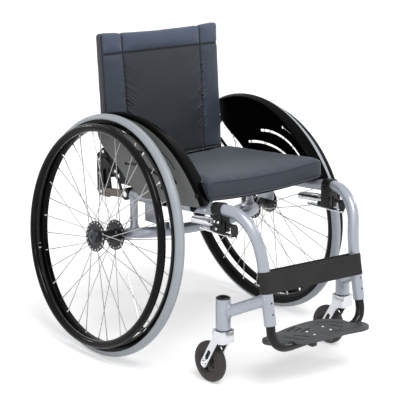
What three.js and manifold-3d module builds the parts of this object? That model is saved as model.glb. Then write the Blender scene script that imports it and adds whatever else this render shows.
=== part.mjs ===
// Active wheelchair with a rigid frame, cambered rear wheels, swivel castors and a folding back.
// Lengths are in millimetres. X runs across the chair, Y to its back and Z up.
// Each side's pieces are drawn once for the left side and mirrored for the right.
import * as THREE from 'three';
import { mergeVertices } from 'three/addons/utils/BufferGeometryUtils.js';
import { ConvexGeometry } from 'three/addons/geometries/ConvexGeometry.js';
import Module from 'manifold-3d';

const wasm = await Module();
wasm.setup();

// Clearances
const fitGap = 0.3;
const overrun = 2;
const weldDistance = 0.0005;

// Rear wheels
const wheelRadius = 305;
const tyreThickness = 34;
const tyreSeatAngle = 130;
const wheelTrackHalf = 261.8;
const camberAngle = 6.78;
const rimWidth = 25;
const rimDepth = 15;
const rimFlangeDepth = 7;
const rimInnerWidth = 13;
const wheelSegments = 36;

// Push rims
const pushRimRadius = 278.6;
const pushRimTubeRadius = 10;
const pushRimOffset = 35.8;
const pushRimTabCount = 6;
const pushRimTabWidth = 18;
const pushRimTabThickness = 4;

// Hubs, spokes and quick-release axles
const hubFlangeRadius = 37.5;
const hubFlangeThickness = 3.2;
const hubFlangeSpread = 61;
const hubBarrelRadius = 16;
const hubWaistRadius = 12.5;
const hubEndLength = 6;
const spokeCount = 36;
const spokeRadius = 1;
const spokeSweepAngle = 60;
const spokeHoleInset = 3.5;
const axlePinRadius = 6;
const axleHeadRadius = 11;
const axleHeadLength = 6;
const buttonRadius = 4.5;
const buttonLength = 5.5;
const buttonStandOut = 3.5;
const buttonTravel = 3;
const receiverRadius = 11;
const receiverLength = 42;
const receiverCollarRadius = 13.5;
const receiverCollarLength = 3;

// Side frames
const frameTubeRadius = 14;
const railHalfWidth = 190;
const railRearReach = 24;
const legReach = 486;
const bendHeight = 426;
const legEndHeight = 169;
const legEndHalfWidth = 148.5;
const legLeanAngle = 10.222;
const legBoreDepth = 122;
const postRadius = 10.2;
const postHalfWidth = 196;
const postReach = 34;
const gussetWidth = 60;
const gussetDrop = 62;
const gussetThickness = 6;
const gussetReach = 98;
const axleBowReach = 112;
const axleBowHeight = 312;

// Castors
const stemHalfWidth = 201;
const stemReach = 380.5;
const stemRadius = 18;
const stemBottom = 145;
const stemTop = 221;
const stemBoltRadius = 6;
const stemBoltLength = 60;
const castorArmRadius = 14;
const castorArmStemHeight = 184;
const castorArmLegHeight = 230;
const castorCapHeight = 7;
const castorRadius = 50.4;
const castorWidth = 26;
const castorTrail = 46.8;
const castorHubRadius = 27;
const castorHubWidth = 29;
const castorHubHoleCount = 5;
const castorHubHoleRadius = 4.5;
const castorHubHoleCircle = 18;
const castorBoltRadius = 4;
const castorBoltHeadRadius = 7.5;
const castorBoltHeadLength = 3.5;
const forkSideGap = 1.5;
const forkPlateThickness = 5.5;
const forkPlateWidth = 21;
const forkCrownHeight = 30;
const forkCrownDepth = 42;
const forkSlotWidth = 10.5;
const forkSlotLength = 28;
const forkSlotRise = 30;
const forkHoleRadius = 2.5;
const forkHoleRise = 16;
const forkCrownGap = 1.5;

// Footrest and calf strap
const footTubeRadius = 11;
const footTubeInset = 100;
const footTubeDrop = 24;
const footTubeReach = 488;
const footTubeHeight = 106;
const footBendReach = 496;
const plateHalfWidth = 138;
const plateReach = 546;
const plateDepth = 124;
const plateTop = 120;
const plateThickness = 9;
const plateSlotWidth = 5;
const clampSpacing = 54;
const clampWidth = 18;
const clampWall = 5;
const clampOffset = 8;
const screwHoleCount = 2;
const screwHoleRise = 29;
const screwHoleRadius = 2.5;
const screwHolePitch = 27;
const strapHeight = 52;
const strapThickness = 2.5;
const strapGap = 1;
const strapRise = 101;

// Seat
const cushionHalfWidth = 189;
const cushionFront = 312;
const cushionRear = 47;
const cushionThickness = 50;
const cushionCrown = 7;
const cushionDrawIn = 6;
const cushionEdgeRound = 9;
const slingThickness = 3;
const slingFront = 306;
const slingRear = 24;
const slingHalfWidth = 186;

// Backrest
const caneRadius = 10.5;
const caneFootHalfWidth = 172;
const caneTopHalfWidth = 169;
const caneFootHeight = 425;
const caneTopHeight = 783;
const caneFootReach = 88;
const caneTopReach = 120;
const backPivotRise = 69;
const backPadRise = 46;
const backPadOver = 6;
const backPadFrontDepth = 26.5;
const backPadThickness = 40;
const backPadFootHalfWidth = 184.5;
const backPadTopHalfWidth = 181.5;
const backPadCrown = 9;
const crossBarRadius = 8;
const crossBarRise = 21;
const backPlateThickness = 6;
const backPlateStandOff = 2;
const backPlateRadius = 15;
const backPlateRear = 113;
const backPlateDrop = 11.4;
const backPlateHeadDrop = 32;
const backPlateHeadRadius = 10;
const backSlotWidth = 14;
const backSlotReach = 92;
const railDrumRadius = 15.5;
const railDrumHalfWidth = 15;
const railDrumReach = 8;
const backArmRadius = 10;
const backArmThickness = 10;
const backLatchRadius = 5;
const backLatchRise = 10;
const backLatchThickness = 5;
const backLatchDrop = 24;
const backLatchReach = 104;
const pivotBoltRadius = 4;

// Side guards
const guardOuterFace = 208;
const guardThickness = 3;
const guardRadius = 305;
const guardFrontRadius = 323;
const guardRearAngle = 69;
const guardTipRise = 6;
const guardFootDrop = 13.7;
const guardLipDepth = 12;
const guardLipWidth = 26;
const guardSlotWidth = 7;
const guardBossReach = 255;
const guardBossRadius = 6;

// Brakes
const brakeHalfWidth = 178;
const brakeReach = 347;
const brakeClampLength = 28;
const brakeClampWidth = 34;
const brakeClampDrop = 56;
const brakePinRadius = 4;
const brakeShoeHeight = 16;
const brakeShoeDrop = 32;
const brakeShoeLength = 82;
const brakeShoeWidth = 9;
const brakeShoePinGap = 14;
const brakeLeverHeight = 6;
const brakeLeverWidth = 15;
const brakeLeverFront = 46;
const brakeLeverRear = 62;
const brakeKnobRadius = 10;
const brakeKnobHeight = 27;

// Colours and finishes taken from the photograph
const finish = (color, roughness, metalness = 0) => (
  new THREE.MeshStandardMaterial({ color, roughness, metalness })
);
const finishes = {
  tyre: finish(0xa7b0b4, 0.7),
  glossBlack: finish(0x15151a, 0.2),
  satinBlack: finish(0x232326, 0.5),
  silverPaint: finish(0xc3c8d6, 0.35, 0.5),
  chrome: finish(0xd8dade, 0.15, 1),
  steel: finish(0xb9bcc2, 0.3, 1),
  castorRubber: finish(0x3b3331, 0.75),
  fabric: finish(0x4b505a, 0.85),
  webbing: finish(0x2e2d2d, 0.9),
  footplate: finish(0x55575a, 0.6),
};

const radians = THREE.MathUtils.degToRad;
const point = (x, y, z) => new THREE.Vector3(x, y, z);
const numbers = (count) => [...Array(count).keys()];

// Welds a geometry's shared corners, drops empty triangles and turns its faces outwards.
function closedForm(geometry) {
  const loose = geometry.clone();
  loose.deleteAttribute('normal');
  loose.deleteAttribute('uv');
  const welded = mergeVertices(loose, weldDistance);
  const corners = welded.index.array;
  const positions = welded.attributes.position;
  const kept = [];
  const a = point(0, 0, 0);
  const b = point(0, 0, 0);
  const c = point(0, 0, 0);
  let volume = 0;
  for (let i = 0; i < corners.length; i += 3) {
    const [p, q, r] = corners.slice(i, i + 3);
    if (p === q || q === r || r === p) continue;
    kept.push(p, q, r);
    a.fromBufferAttribute(positions, p);
    b.fromBufferAttribute(positions, q);
    c.fromBufferAttribute(positions, r);
    volume += a.dot(b.cross(c));
  }
  if (volume < 0) kept.reverse();
  welded.setIndex(kept);
  return welded;
}

// Turns a closed geometry into a solid for joining and cutting.
function solid(geometry) {
  const form = closedForm(geometry);
  return new wasm.Manifold(new wasm.Mesh({
    numProp: 3,
    vertProperties: new Float32Array(form.attributes.position.array),
    triVerts: new Uint32Array(form.index.array),
  }));
}

function fromSolid(manifold) {
  const mesh = manifold.getMesh();
  const geometry = new THREE.BufferGeometry();
  geometry.setAttribute('position', new THREE.BufferAttribute(mesh.vertProperties, 3));
  geometry.setIndex(new THREE.BufferAttribute(mesh.triVerts, 1));
  return geometry;
}

const join = (...pieces) => fromSolid(pieces.map(solid).reduce((all, next) => all.add(next)));
const cut = (base, ...tools) => (
  fromSolid(tools.map(solid).reduce((all, next) => all.subtract(next), solid(base)))
);

// Makes one named piece from its geometry and finish.
function piece(name, geometry, material) {
  const form = closedForm(geometry);
  form.computeVertexNormals();
  const mesh = new THREE.Mesh(form, material);
  mesh.name = name;
  return mesh;
}

// A round outline as a shape with the given number of sides.
function polygon(radius, sides) {
  const corners = numbers(sides).map((i) => {
    const angle = (i / sides) * 2 * Math.PI;
    return new THREE.Vector2(radius * Math.cos(angle), radius * Math.sin(angle));
  });
  return new THREE.Shape(corners);
}

const sweep = (path, radius, sides, steps) => closedForm(
  new THREE.ExtrudeGeometry(polygon(radius, sides), { steps, extrudePath: path, bevelEnabled: false }),
);

// A straight round bar between two places.
function rod(from, to, radius, sides) {
  const direction = to.clone().sub(from);
  const bar = new THREE.CylinderGeometry(radius, radius, direction.length(), sides);
  bar.applyQuaternion(new THREE.Quaternion().setFromUnitVectors(point(0, 1, 0), direction.normalize()));
  const middle = from.clone().add(to).multiplyScalar(1 / 2);
  return bar.translate(middle.x, middle.y, middle.z);
}

function block(low, high) {
  const size = high.clone().sub(low);
  const middle = high.clone().add(low).multiplyScalar(1 / 2);
  return new THREE.BoxGeometry(size.x, size.y, size.z).translate(middle.x, middle.y, middle.z);
}

// Turns a profile of [place along the axis, radius] pairs about the X axis or the Z axis.
function turned(profile, segments) {
  const points = profile.map(([along, radius]) => new THREE.Vector2(radius, along));
  return new THREE.LatheGeometry(points, segments);
}
const turnedAboutX = (profile, segments) => turned(profile, segments).rotateZ(-Math.PI / 2);
const turnedAboutZ = (profile, segments) => turned(profile, segments).rotateX(Math.PI / 2);

// A flat plate across X whose outline wraps round circles given as [y, z, radius].
function wrappedPlate(circles, fromX, toX, sides = 8) {
  const points = circles.flatMap(([y, z, radius]) => numbers(sides).flatMap((i) => {
    const angle = (i / sides) * 2 * Math.PI;
    const across = y + radius * Math.cos(angle);
    const height = z + radius * Math.sin(angle);
    return [point(fromX, across, height), point(toX, across, height)];
  }));
  return new ConvexGeometry(points);
}

// A flat plate that lies level and wraps round circles given as [x, y, radius].
function wrappedSlab(circles, fromZ, toZ, sides = 8) {
  const points = circles.flatMap(([x, y, radius]) => numbers(sides).flatMap((i) => {
    const angle = (i / sides) * 2 * Math.PI;
    const across = x + radius * Math.cos(angle);
    const along = y + radius * Math.sin(angle);
    return [point(across, along, fromZ), point(across, along, toZ)];
  }));
  return new ConvexGeometry(points);
}

// A closed skin over a row of rings that all have the same number of points.
function loft(rings) {
  const count = rings[0].length;
  const corners = [];
  const quad = (a, b, c, d) => corners.push(a, b, c, a, c, d);
  rings.slice(1).forEach((ring, i) => {
    const last = rings[i];
    ring.forEach((corner, j) => {
      const k = (j + 1) % count;
      quad(last[j], last[k], ring[k], corner);
    });
  });
  const first = rings[0];
  const end = rings[rings.length - 1];
  for (let j = 1; j < count - 1; j += 1) {
    corners.push(first[0], first[j + 1], first[j]);
    corners.push(end[0], end[j], end[j + 1]);
  }
  return closedForm(new THREE.BufferGeometry().setFromPoints(corners));
}

// Rear wheel: everything here lies about the wheel's own axis, with X pointing away from the chair.
const tyreHalf = tyreThickness / 2;
const tyreCentreRadius = wheelRadius - tyreHalf;
const wheelCentreHeight = tyreCentreRadius * Math.cos(radians(camberAngle)) + tyreHalf;
const rimSeatRadius = tyreCentreRadius + tyreHalf * Math.cos(radians(tyreSeatAngle)) - fitGap;
const rimInnerRadius = rimSeatRadius - rimDepth;
const hubFlangePlace = hubFlangeSpread / 2;
const hubEnd = hubFlangePlace + hubFlangeThickness / 2 + hubEndLength;
const hubBoreRadius = axlePinRadius + fitGap;

function makeTyre() {
  const steps = 6;
  const crown = numbers(steps + 1).map((i) => {
    const angle = radians(tyreSeatAngle * (2 * i / steps - 1));
    return [tyreHalf * Math.sin(angle), tyreCentreRadius + tyreHalf * Math.cos(angle)];
  });
  return turnedAboutX([...crown, crown[0]], wheelSegments);
}

function makeRim() {
  const half = rimWidth / 2;
  const innerHalf = rimInnerWidth / 2;
  const flangeRadius = rimSeatRadius - rimFlangeDepth;
  const profile = [
    [-half, rimSeatRadius], [half, rimSeatRadius], [half, flangeRadius],
    [innerHalf, rimInnerRadius], [-innerHalf, rimInnerRadius], [-half, flangeRadius],
  ];
  return turnedAboutX([...profile, profile[0]], wheelSegments);
}

function makePushRim() {
  const ringRadius = pushRimRadius - pushRimTubeRadius;
  const ring = new THREE.TorusGeometry(ringRadius, pushRimTubeRadius, 7, wheelSegments);
  ring.rotateY(Math.PI / 2).translate(pushRimOffset, 0, 0);
  const tabRadius = rimSeatRadius - rimFlangeDepth / 2;
  const tabs = numbers(pushRimTabCount).map((i) => {
    const tab = block(
      point(rimWidth / 2 + fitGap, -pushRimTabWidth / 2, tabRadius - pushRimTabThickness / 2),
      point(pushRimOffset, pushRimTabWidth / 2, tabRadius + pushRimTabThickness / 2),
    );
    return tab.rotateX(((i + 1 / 2) / pushRimTabCount) * 2 * Math.PI);
  });
  return join(ring, ...tabs);
}

function makeHub() {
  const half = hubFlangeThickness / 2;
  const rightHalf = [
    [hubEnd, hubBoreRadius], [hubEnd, hubBarrelRadius - half], [hubFlangePlace + half, hubBarrelRadius],
    [hubFlangePlace - half, hubBarrelRadius], [hubFlangePlace - half - hubEndLength, hubWaistRadius],
  ];
  const leftHalf = rightHalf.map(([along, radius]) => [-along, radius]).reverse();
  const profile = [...rightHalf, ...leftHalf];
  return turnedAboutX([...profile, profile[0]], 14);
}

// One drilled flange with its half of the wheel's spokes. Leading and trailing spokes leave the
// flange on opposite faces, so they pass each other clear.
function makeSpokes(flangeSide) {
  const perFlange = spokeCount / 2;
  const startRadius = hubFlangeRadius - spokeHoleInset;
  const onWheel = (along, radius, angle) => point(along, radius * Math.cos(angle), radius * Math.sin(angle));
  const bars = numbers(perFlange).map((i) => {
    const family = i % 2 === 0 ? 1 : -1;
    const hubAngle = ((i + (1 - flangeSide) / 4) / perFlange) * 2 * Math.PI;
    const face = family * (hubFlangeThickness / 2 + spokeRadius / 3);
    const turn = radians(spokeSweepAngle) * family;
    const start = onWheel(flangeSide * hubFlangePlace + face, startRadius, hubAngle);
    const end = onWheel(flangeSide * rimInnerWidth / 4, rimInnerRadius + overrun, hubAngle + turn);
    return rod(start, end, spokeRadius, 3);
  });
  const half = hubFlangeThickness / 2;
  const bore = hubBarrelRadius + fitGap;
  const profile = [[-half, bore], [half, bore], [half, hubFlangeRadius], [-half, hubFlangeRadius]];
  const flange = turnedAboutX([...profile, profile[0]], 18).translate(flangeSide * hubFlangePlace, 0, 0);
  const rimHalf = rimWidth / 2;
  const roomRadius = rimInnerRadius - fitGap;
  const outside = rimInnerRadius + rimDepth;
  const rimRoom = [[-rimHalf, roomRadius], [rimHalf, roomRadius], [rimHalf, outside], [-rimHalf, outside]];
  return cut(join(flange, ...bars), turnedAboutX([...rimRoom, rimRoom[0]], wheelSegments));
}

function makeAxlePin() {
  const inner = -(hubEnd + receiverLength);
  const head = hubEnd + fitGap;
  const face = head + axleHeadLength;
  const recess = face + buttonStandOut - buttonLength - buttonTravel - fitGap;
  const profile = [
    [inner, 0], [inner, axlePinRadius], [head, axlePinRadius],
    [head, axleHeadRadius], [face, axleHeadRadius],
    [face, buttonRadius + fitGap], [recess, buttonRadius + fitGap], [recess, 0],
  ];
  return turnedAboutX(profile, 12);
}

function makeAxleButton() {
  const outer = hubEnd + fitGap + axleHeadLength + buttonStandOut;
  const profile = [
    [outer - buttonLength, 0], [outer - buttonLength, buttonRadius],
    [outer - buttonStandOut / 4, buttonRadius], [outer, buttonRadius / 2], [outer, 0],
  ];
  return turnedAboutX(profile, 12);
}

function makeReceiver() {
  const face = -(hubEnd + fitGap);
  const collar = face - receiverCollarLength;
  const inner = -(hubEnd + receiverLength);
  const bore = axlePinRadius + fitGap;
  const profile = [
    [face, bore], [face, receiverCollarRadius], [collar, receiverCollarRadius],
    [collar, receiverRadius], [inner, receiverRadius], [inner, bore],
  ];
  return turnedAboutX([...profile, profile[0]], 12);
}

// A group at the wheel's centre, leaned by the camber, with its X pointing away from the chair.
function wheelGroup() {
  const group = new THREE.Group();
  group.position.set(wheelTrackHalf, 0, wheelCentreHeight);
  group.rotation.y = -radians(camberAngle);
  return group;
}

// Turns a place given about the wheel's axis into a place on the chair.
function fromWheel(x, y, z) {
  return point(x, y, z).applyAxisAngle(point(0, 1, 0), -radians(camberAngle))
    .add(point(wheelTrackHalf, 0, wheelCentreHeight));
}

// Tubes are swept with few sides. A cover is the same sweep, a fit gap larger all round.
const tubeSides = 10;
const sideTubeSteps = 28;
const bowSteps = 20;
const footTubeSides = 8;
const tubeCoverRadius = frameTubeRadius + fitGap / Math.cos(Math.PI / tubeSides);
const footCoverRadius = footTubeRadius + fitGap / Math.cos(Math.PI / footTubeSides);

// Side frame: one bent tube makes the seat rail and the front leg.
const legDirection = point(0, Math.sin(radians(legLeanAngle)), Math.cos(radians(legLeanAngle)));
const legEnd = point(legEndHalfWidth, -legReach, legEndHeight);
const onLeg = (rise) => legEnd.clone().addScaledVector(legDirection, rise);

// The tube's bends as shares of the rail's half width, the leg's reach and the bend's height.
const sideTubeShares = [
  [1, 0.0494, 0.9423], [0.995, 0.247, 0.9559], [0.984, 0.4527, 0.9702], [0.972, 0.6379, 0.9845],
  [0.952, 0.7407, 1], [0.913, 0.823, 0.989], [0.876, 0.8868, 0.938], [0.841, 0.9239, 0.8685],
  [0.8, 0.942, 0.7746], [0.7842, 0.9551, 0.6815],
];

function sideTubePath() {
  const bends = sideTubeShares.map(([x, y, z]) => (
    point(x * railHalfWidth, -y * legReach, z * bendHeight)
  ));
  return new THREE.CatmullRomCurve3([...bends, onLeg(legBoreDepth / 2), legEnd], false, 'centripetal');
}

// The place on the side tube's centre line at a given reach in front of the rear axle.
function onRail(reach) {
  const samples = sideTubePath().getPoints(200);
  return samples.find((place) => -place.y >= reach);
}

const stem = point(stemHalfWidth, -stemReach, 0);
const stemAt = (height) => stem.clone().setZ(height);

function makeSideFrame() {
  const tube = sweep(sideTubePath(), frameTubeRadius, tubeSides, sideTubeSteps);
  const armFoot = onLeg((castorArmLegHeight - legEndHeight) / legDirection.z);
  const arm = rod(armFoot, stemAt(castorArmStemHeight), castorArmRadius, tubeSides);
  const housing = rod(stemAt(stemBottom), stemAt(stemTop), stemRadius, 16);
  const gussetTop = onRail(gussetReach);
  const gusset = block(
    point(gussetTop.x - gussetThickness / 2, gussetTop.y - gussetWidth / 2, gussetTop.z - gussetDrop),
    point(gussetTop.x + gussetThickness / 2, gussetTop.y + gussetWidth / 2, gussetTop.z),
  );
  const stemBore = rod(
    stemAt(stemBottom - overrun), stemAt(stemBottom + stemBoltLength + fitGap),
    stemBoltRadius + 2 * fitGap, 10,
  );
  const footBoreRadius = (footTubeRadius + fitGap) / Math.cos(Math.PI / tubeSides);
  const footBore = rod(onLeg(-overrun), onLeg(legBoreDepth), footBoreRadius, tubeSides);
  const screwHoles = numbers(screwHoleCount).map((i) => {
    const centre = onLeg(screwHoleRise + i * screwHolePitch);
    return rod(centre, centre.clone().add(point(0, -frameTubeRadius - overrun, 0)), screwHoleRadius, 6);
  });
  return cut(join(tube, arm, housing, gusset), stemBore, footBore, ...screwHoles);
}

// Rear axle tube: it bows forwards between the two wheels and ends in the axle receivers' sleeves.
const sleeveInner = -(hubEnd + fitGap + receiverCollarLength + fitGap);
const sleeveLength = receiverLength - receiverCollarLength;

// The bow's bends as shares of the wheel track's half, the bow's reach and its height.
const axleBowShares = [
  [0.775, 0.25, 0.978], [0.726, 0.518, 0.991], [0.573, 0.768, 0.998], [0.283, 0.946, 1], [0, 1, 1],
];

function axleBowPath() {
  const near = axleBowShares.map(([x, y, z]) => (
    point(x * wheelTrackHalf, -y * axleBowReach, z * axleBowHeight)
  ));
  const sleeveMiddle = fromWheel(sleeveInner - sleeveLength / 2, 0, 0);
  const half = [sleeveMiddle, ...near];
  const mirror = half.slice(0, -1).reverse().map((place) => point(-place.x, place.y, place.z));
  return new THREE.CatmullRomCurve3([...half, ...mirror], false, 'centripetal');
}

function makeAxleTube() {
  const bow = sweep(axleBowPath(), frameTubeRadius, tubeSides, bowSteps);
  const boreRadius = (receiverRadius + fitGap) / Math.cos(Math.PI / 12);
  const outer = fromWheel(sleeveInner, 0, 0);
  const inner = fromWheel(sleeveInner - sleeveLength, 0, 0);
  const boreStart = fromWheel(sleeveInner + overrun, 0, 0);
  const boreEnd = fromWheel(-(hubEnd + receiverLength + fitGap), 0, 0);
  const flip = (place) => point(-place.x, place.y, place.z);
  const sleeves = [
    rod(inner, outer, frameTubeRadius, 12), rod(flip(inner), flip(outer), frameTubeRadius, 12),
  ];
  const bores = [
    rod(boreEnd, boreStart, boreRadius, 12), rod(flip(boreEnd), flip(boreStart), boreRadius, 12),
  ];
  return cut(join(bow, ...sleeves), ...bores);
}

// The round post that carries the rear of the rail on the axle tube.
function makeRearPost() {
  const rail = onRail(postReach);
  const foot = point(postHalfWidth, -postReach, axleBowHeight - frameTubeRadius);
  const head = point(postHalfWidth, -postReach, rail.z);
  const bowClear = sweep(axleBowPath(), tubeCoverRadius, tubeSides, bowSteps);
  const railClear = sweep(sideTubePath(), tubeCoverRadius, tubeSides, sideTubeSteps);
  const post = rod(foot, head, postRadius, 12);
  const parts = solid(cut(post, bowClear, railClear)).decompose();
  return fromSolid(parts.sort((a, b) => b.volume() - a.volume())[0]);
}

// Castors: the fork swivels about the upright stem and its wheel trails behind the stem.
const castorAxle = stem.clone().add(point(0, castorTrail, castorRadius));
const forkTop = stemBottom - forkCrownGap;
const forkHalfInside = castorHubWidth / 2 + forkSideGap;
const forkHalfOutside = forkHalfInside + forkPlateThickness;
const forkLegHead = stemAt(forkTop - forkCrownHeight / 2);
const forkLegDirection = forkLegHead.clone().sub(castorAxle).normalize();
const onForkLeg = (rise) => castorAxle.clone().addScaledVector(forkLegDirection, rise);
const throughFork = (circles) => wrappedPlate(
  circles, stem.x - forkHalfOutside - overrun, stem.x + forkHalfOutside + overrun,
);

function makeCastorFork() {
  const legRadius = forkPlateWidth / 2;
  const legCircles = [
    [forkLegHead.y, forkLegHead.z, legRadius], [castorAxle.y, castorAxle.z, legRadius],
  ];
  const legs = [-1, 1].map((side) => wrappedPlate(
    legCircles, stem.x + side * forkHalfInside, stem.x + side * forkHalfOutside,
  ));
  const crown = wrappedSlab([
    [stem.x - forkHalfOutside + legRadius, stem.y - forkCrownDepth / 2 + legRadius, legRadius],
    [stem.x + forkHalfOutside - legRadius, stem.y - forkCrownDepth / 2 + legRadius, legRadius],
    [stem.x - forkHalfOutside + legRadius, stem.y + forkCrownDepth / 2 - legRadius, legRadius],
    [stem.x + forkHalfOutside - legRadius, stem.y + forkCrownDepth / 2 - legRadius, legRadius],
  ], forkTop - forkCrownHeight, forkTop);
  const boltFoot = stemAt(forkTop - forkCrownGap);
  const stemBolt = rod(boltFoot, stemAt(stemBottom + stemBoltLength), stemBoltRadius, 10);
  const wheelRoom = wrappedPlate(
    [[castorAxle.y, castorAxle.z, castorRadius + 2 * forkSideGap]],
    stem.x - forkHalfInside, stem.x + forkHalfInside, 16,
  );
  const slotEnds = [-1, 1].map((side) => (
    onForkLeg(forkSlotRise + side * (forkSlotLength - forkSlotWidth) / 2)
  ));
  const slot = throughFork(slotEnds.map((place) => [place.y, place.z, forkSlotWidth / 2]));
  const hole = onForkLeg(forkHoleRise);
  const boltHole = [castorAxle.y, castorAxle.z, castorBoltRadius + fitGap];
  return cut(
    join(crown, ...legs, stemBolt), wheelRoom, slot,
    throughFork([[hole.y, hole.z, forkHoleRadius]]), throughFork([boltHole]),
  );
}

const aboutCastorAxle = (geometry) => geometry.translate(castorAxle.x, castorAxle.y, castorAxle.z);

function makeCastorBolt() {
  const face = forkHalfOutside + fitGap;
  const half = [
    [face + castorBoltHeadLength, 0], [face + castorBoltHeadLength, castorBoltHeadRadius],
    [face, castorBoltHeadRadius], [face, castorBoltRadius],
  ];
  const mirror = half.map(([along, radius]) => [-along, radius]).reverse();
  return aboutCastorAxle(turnedAboutX([...half, ...mirror], 12));
}

// Half of the castor tyre's section, as shares of its half width and of its depth.
const castorTyreShares = [[0.8, 0], [1, 0.35], [0.85, 0.85], [0.35, 1]];

function makeCastorTyre() {
  const inner = castorHubRadius + fitGap;
  const half = castorTyreShares.map(([across, deep]) => (
    [across * castorWidth / 2, inner + deep * (castorRadius - inner)]
  ));
  const mirror = half.map(([along, radius]) => [-along, radius]).reverse();
  return aboutCastorAxle(turnedAboutX([...half, ...mirror, half[0]], 24));
}

function makeCastorHub() {
  const half = castorHubWidth / 2;
  const bore = castorBoltRadius + fitGap;
  const bossRadius = castorHubHoleCircle - castorHubHoleRadius - forkSideGap;
  const rimHalf = castorWidth * castorTyreShares[0][0] / 2;
  const webHalf = rimHalf / 2;
  const rimInside = castorHubHoleCircle + castorHubHoleRadius + forkSideGap;
  const right = [
    [half, bore], [half, bossRadius], [webHalf, bossRadius],
    [webHalf, rimInside], [rimHalf, rimInside], [rimHalf, castorHubRadius],
  ];
  const left = right.map(([along, radius]) => [-along, radius]).reverse();
  const hub = turnedAboutX([...right, ...left, right[0]], 15);
  const holes = numbers(castorHubHoleCount).map((i) => {
    const angle = (i / castorHubHoleCount) * 2 * Math.PI;
    const y = castorHubHoleCircle * Math.cos(angle);
    const z = castorHubHoleCircle * Math.sin(angle);
    return rod(point(-half, y, z), point(half, y, z), castorHubHoleRadius, 6);
  });
  return aboutCastorAxle(cut(hub, ...holes));
}

function makeStemCap() {
  const bottom = stemTop + fitGap;
  const steps = 4;
  const dome = numbers(steps + 1).map((i) => {
    const angle = (i / steps) * Math.PI / 2;
    return [bottom + castorCapHeight * Math.sin(angle), stemRadius * Math.cos(angle)];
  });
  return turnedAboutZ([[bottom, 0], ...dome], 12).translate(stem.x, stem.y, 0);
}

// Footrest: one bent tube slides in both legs, and the plate is clamped to its cross stretch.
// The bend's places are shares of the leg's half width, the bend's reach and the cross tube's height.
const footBendShares = [
  [0.949, 0.996, 1.198], [0.828, 1, 1.071], [0.66, 0.996, 1.014], [0.471, 0.99, 1],
];

function footTubePath() {
  const bends = footBendShares.map(([x, y, z]) => (
    point(x * legEndHalfWidth, -y * footBendReach, z * footTubeHeight)
  ));
  const half = [onLeg(footTubeInset), legEnd.clone(), onLeg(-footTubeDrop), ...bends];
  const middle = point(0, -footTubeReach, footTubeHeight);
  const mirror = half.map((place) => point(-place.x, place.y, place.z)).reverse();
  return new THREE.CatmullRomCurve3([...half, middle, ...mirror], false, 'centripetal');
}

const footTubeSteps = 36;
const makeFootrestTube = () => sweep(footTubePath(), footTubeRadius, footTubeSides, footTubeSteps);
const footTubeClearance = () => sweep(footTubePath(), footCoverRadius, footTubeSides, footTubeSteps);

// The plate's outline as shares of its half width and of its depth behind the front edge.
const plateOutlineShares = [
  [-0.76, 0.92], [-0.93, 0.88], [-1, 0.76], [-0.95, 0.59], [-0.78, 0.5], [-0.64, 0.42], [-0.54, 0.3],
  [-0.36, 0.2], [0, 0.13], [0.42, 0.08], [0.8, 0], [0.94, 0.06], [0.99, 0.22], [0.94, 0.34],
  [0.83, 0.42], [0.8, 0.5], [0.79, 0.62], [0.72, 0.74], [0.64, 0.85], [0.5, 0.94], [0.2, 1], [-0.2, 1],
  [-0.52, 0.95],
];

// The plate's slots run between two places each, in the same shares.
const plateSlotShares = [
  [-0.43, 0.59, -0.27, 0.37], [-0.6, 0.66, -0.44, 0.32], [-0.37, 0.84, -0.14, 0.91],
  [-0.28, 0.76, -0.08, 0.8], [-0.18, 0.66, 0.02, 0.68], [0.42, 0.57, 0.52, 0.34],
  [0.53, 0.7, 0.66, 0.5], [0.21, 0.27, 0.39, 0.23], [0.3, 0.82, 0.5, 0.72],
];

const onPlate = ([x, y]) => new THREE.Vector2(x * plateHalfWidth, y * plateDepth - plateReach);

// A slot with round ends between two places.
function slotOutline(from, to, width) {
  const half = width / 2;
  const heading = Math.atan2(to.y - from.y, to.x - from.x);
  const steps = 3;
  const end = (centre, turn) => numbers(steps + 1).map((i) => {
    const angle = heading + turn + (i / steps) * Math.PI;
    return new THREE.Vector2(centre.x + half * Math.cos(angle), centre.y + half * Math.sin(angle));
  });
  return new THREE.Path([...end(to, -Math.PI / 2), ...end(from, Math.PI / 2)]);
}

function biggest(geometry) {
  const parts = solid(geometry).decompose();
  return fromSolid(parts.sort((a, b) => b.volume() - a.volume())[0]);
}

function makeFootplate() {
  const edge = plateOutlineShares.map(onPlate);
  const outline = new THREE.Shape();
  outline.moveTo(edge[0].x, edge[0].y);
  outline.splineThru([...edge.slice(1), edge[0]]);
  outline.holes = plateSlotShares.map(([x1, y1, x2, y2]) => (
    slotOutline(onPlate([x1, y1]), onPlate([x2, y2]), plateSlotWidth)
  ));
  const options = { depth: plateThickness, bevelEnabled: false, curveSegments: 2 };
  const slab = new THREE.ExtrudeGeometry(outline, options).translate(0, 0, plateTop - plateThickness);
  return biggest(cut(slab, footTubeClearance()));
}

function makePlateClamp(side) {
  const middle = clampOffset + side * clampSpacing / 2;
  const reach = footTubeRadius + clampWall;
  const body = block(
    point(middle - clampWidth / 2, -footTubeReach - reach, footTubeHeight - reach),
    point(middle + clampWidth / 2, -footTubeReach + reach, plateTop - plateThickness - fitGap),
  );
  return biggest(cut(body, footTubeClearance()));
}

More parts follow.
